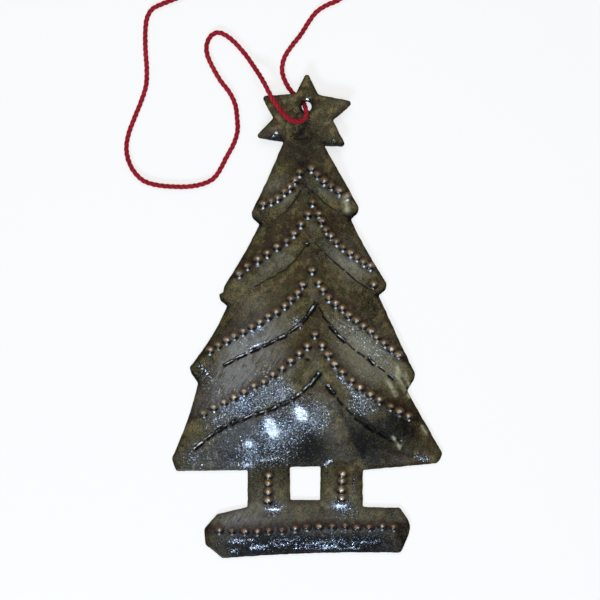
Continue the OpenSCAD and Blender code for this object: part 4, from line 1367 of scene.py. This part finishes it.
def makeTree(s):
    p = punchSet
    spots = dotSpots(s, p)
    strokes, bold = strokeLines(s, p)
    dots = markObject("dotMarks", spots, [])
    setAttribute(dots.data, "size", 1 + rng.uniform(-p["sizeSpread"], p["sizeSpread"], len(spots)))
    # how strong each dot's painted top highlight is, and where it sits
    wearAndHighlight = rng.uniform(*p["topHighlightSpread"], len(spots)) * np.interp(spots[:, 1], *p["topHighlightLevels"])
    topHighlightAt = [rng.normal(mean, spread, len(spots)) for mean, spread in p["topHighlightAt"]]
    setAttribute(dots.data, "tone", np.column_stack([*topHighlightAt, wearAndHighlight]))
    count = p["strokePoints"]
    edges = [(count * k + j, count * k + j + 1) for k in range(len(strokes)) for j in range(count - 1)]
    lines = markObject("strokeMarks", np.vstack(strokes), edges)
    setAttribute(lines.data, "bold", np.repeat(bold, count))
    blank = addObject("sheetBlank", sheetMesh(s, reliefSet, meshSet, p, spots, strokes))
    tree, names = punchTree(p)
    lengths = {"Dot Radius": "dotRadius", "Dot Height": "dotHeight", "Groove Width": "grooveWidth",
               "Groove Depth": "grooveDepth", "Lip Height": "lipHeight"}
    made = runTree(blank, "hammered_tree", tree, names, {
        **{key: p[size] * mm for key, size in lengths.items()},
        "Dots": dots, "Strokes": lines, "Dimple Share": p["dimpleShare"], "Finish": steelFinish(steelSet)})
    for helper in (dots, lines):
        bpy.data.objects.remove(helper)
    made.data.shade_smooth()
    made.data.set_sharp_from_angle(angle=math.radians(s["sharpFrom"]))
    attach(made, "tree")
    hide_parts("tree_sheet")
    print("tree made:", len(made.data.polygons), "faces")


makeTree(treeSet)


# White table, a cool lamp beside the camera and soft light all round

stageSet = {
    "tableSize": 3.0,  # metres
    "tableDrop": 0.00005,  # so that the table doesn't cut the sheet's flat back
    "tableColour": (0.93, 0.93, 0.93),
    "tableRoughness": 0.9,
    "tableSpecular": 0.1,
    "ownWhite": 0.7,  # share of the table's white that is its own
    "worldStrength": 0.22,
    "lamps": (  # name, place, size, power and colour
        ("lamp", (0.0, -0.145, 0.52), (0.12, 0.12), 0.7, (0.7, 0.85, 1.0)),
        ("window", (-0.2, -0.58, 0.46), (0.26, 0.17), 3.4, (0.72, 0.86, 1.0)),
        ("ceiling", (0.0, 0.36, 0.58), (0.6, 0.5), 1.9, (1.0, 0.92, 0.82)),
    ),
}


def makeStage(s):
    half = s["tableSize"] / 2
    corners = [(x * half, y * half, -s["tableDrop"]) for x, y in ((-1, -1), (1, -1), (1, 1), (-1, 1))]
    mesh = bpy.data.meshes.new("table")
    mesh.from_pydata(corners, [], [(0, 1, 2, 3)])
    table = addObject("table", mesh)
    made, tree, shader = newMaterial("white table")
    connect(tree, shader.inputs, {
        "Base Color": (*s["tableColour"], 1), "Roughness": s["tableRoughness"],
        "Specular IOR Level": s["tableSpecular"]})
    white = Wire.node(tree, "ShaderNodeEmission", {"Color": (1, 1, 1, 1), "Strength": 1.0})
    rays = Wire.node(tree, "ShaderNodeLightPath", out="Is Camera Ray")
    mixed = Wire.node(tree, "ShaderNodeMixShader", {
        0: rays.larger(rays.sibling("Is Glossy Ray")) * s["ownWhite"], 1: Wire(shader.outputs[0]), 2: white})
    connect(tree, tree.nodes["Material Output"].inputs, {"Surface": mixed})
    mesh.materials.append(made)

    world = bpy.data.worlds.new("white room")
    world.use_nodes = True
    scene.world = world
    room = world.node_tree
    rays = Wire.node(room, "ShaderNodeLightPath", out="Is Camera Ray")
    connect(room, room.nodes["Background"].inputs, {
        "Color": (1, 1, 1, 1), "Strength": rays * (1 - s["worldStrength"]) + s["worldStrength"]})
    for name, place, size, power, colour in s["lamps"]:
        data = bpy.data.lights.new(name, "AREA")
        data.shape = "RECTANGLE"
        data.size, data.size_y = size
        data.energy = power
        data.color = colour
        made = addObject(name, data)
        made.location = place
        made.rotation_euler = (-Vector(place)).to_track_quat("-Z", "Y").to_euler()


makeStage(stageSet)
scene.view_settings.view_transform = "Standard"
print("stage made")
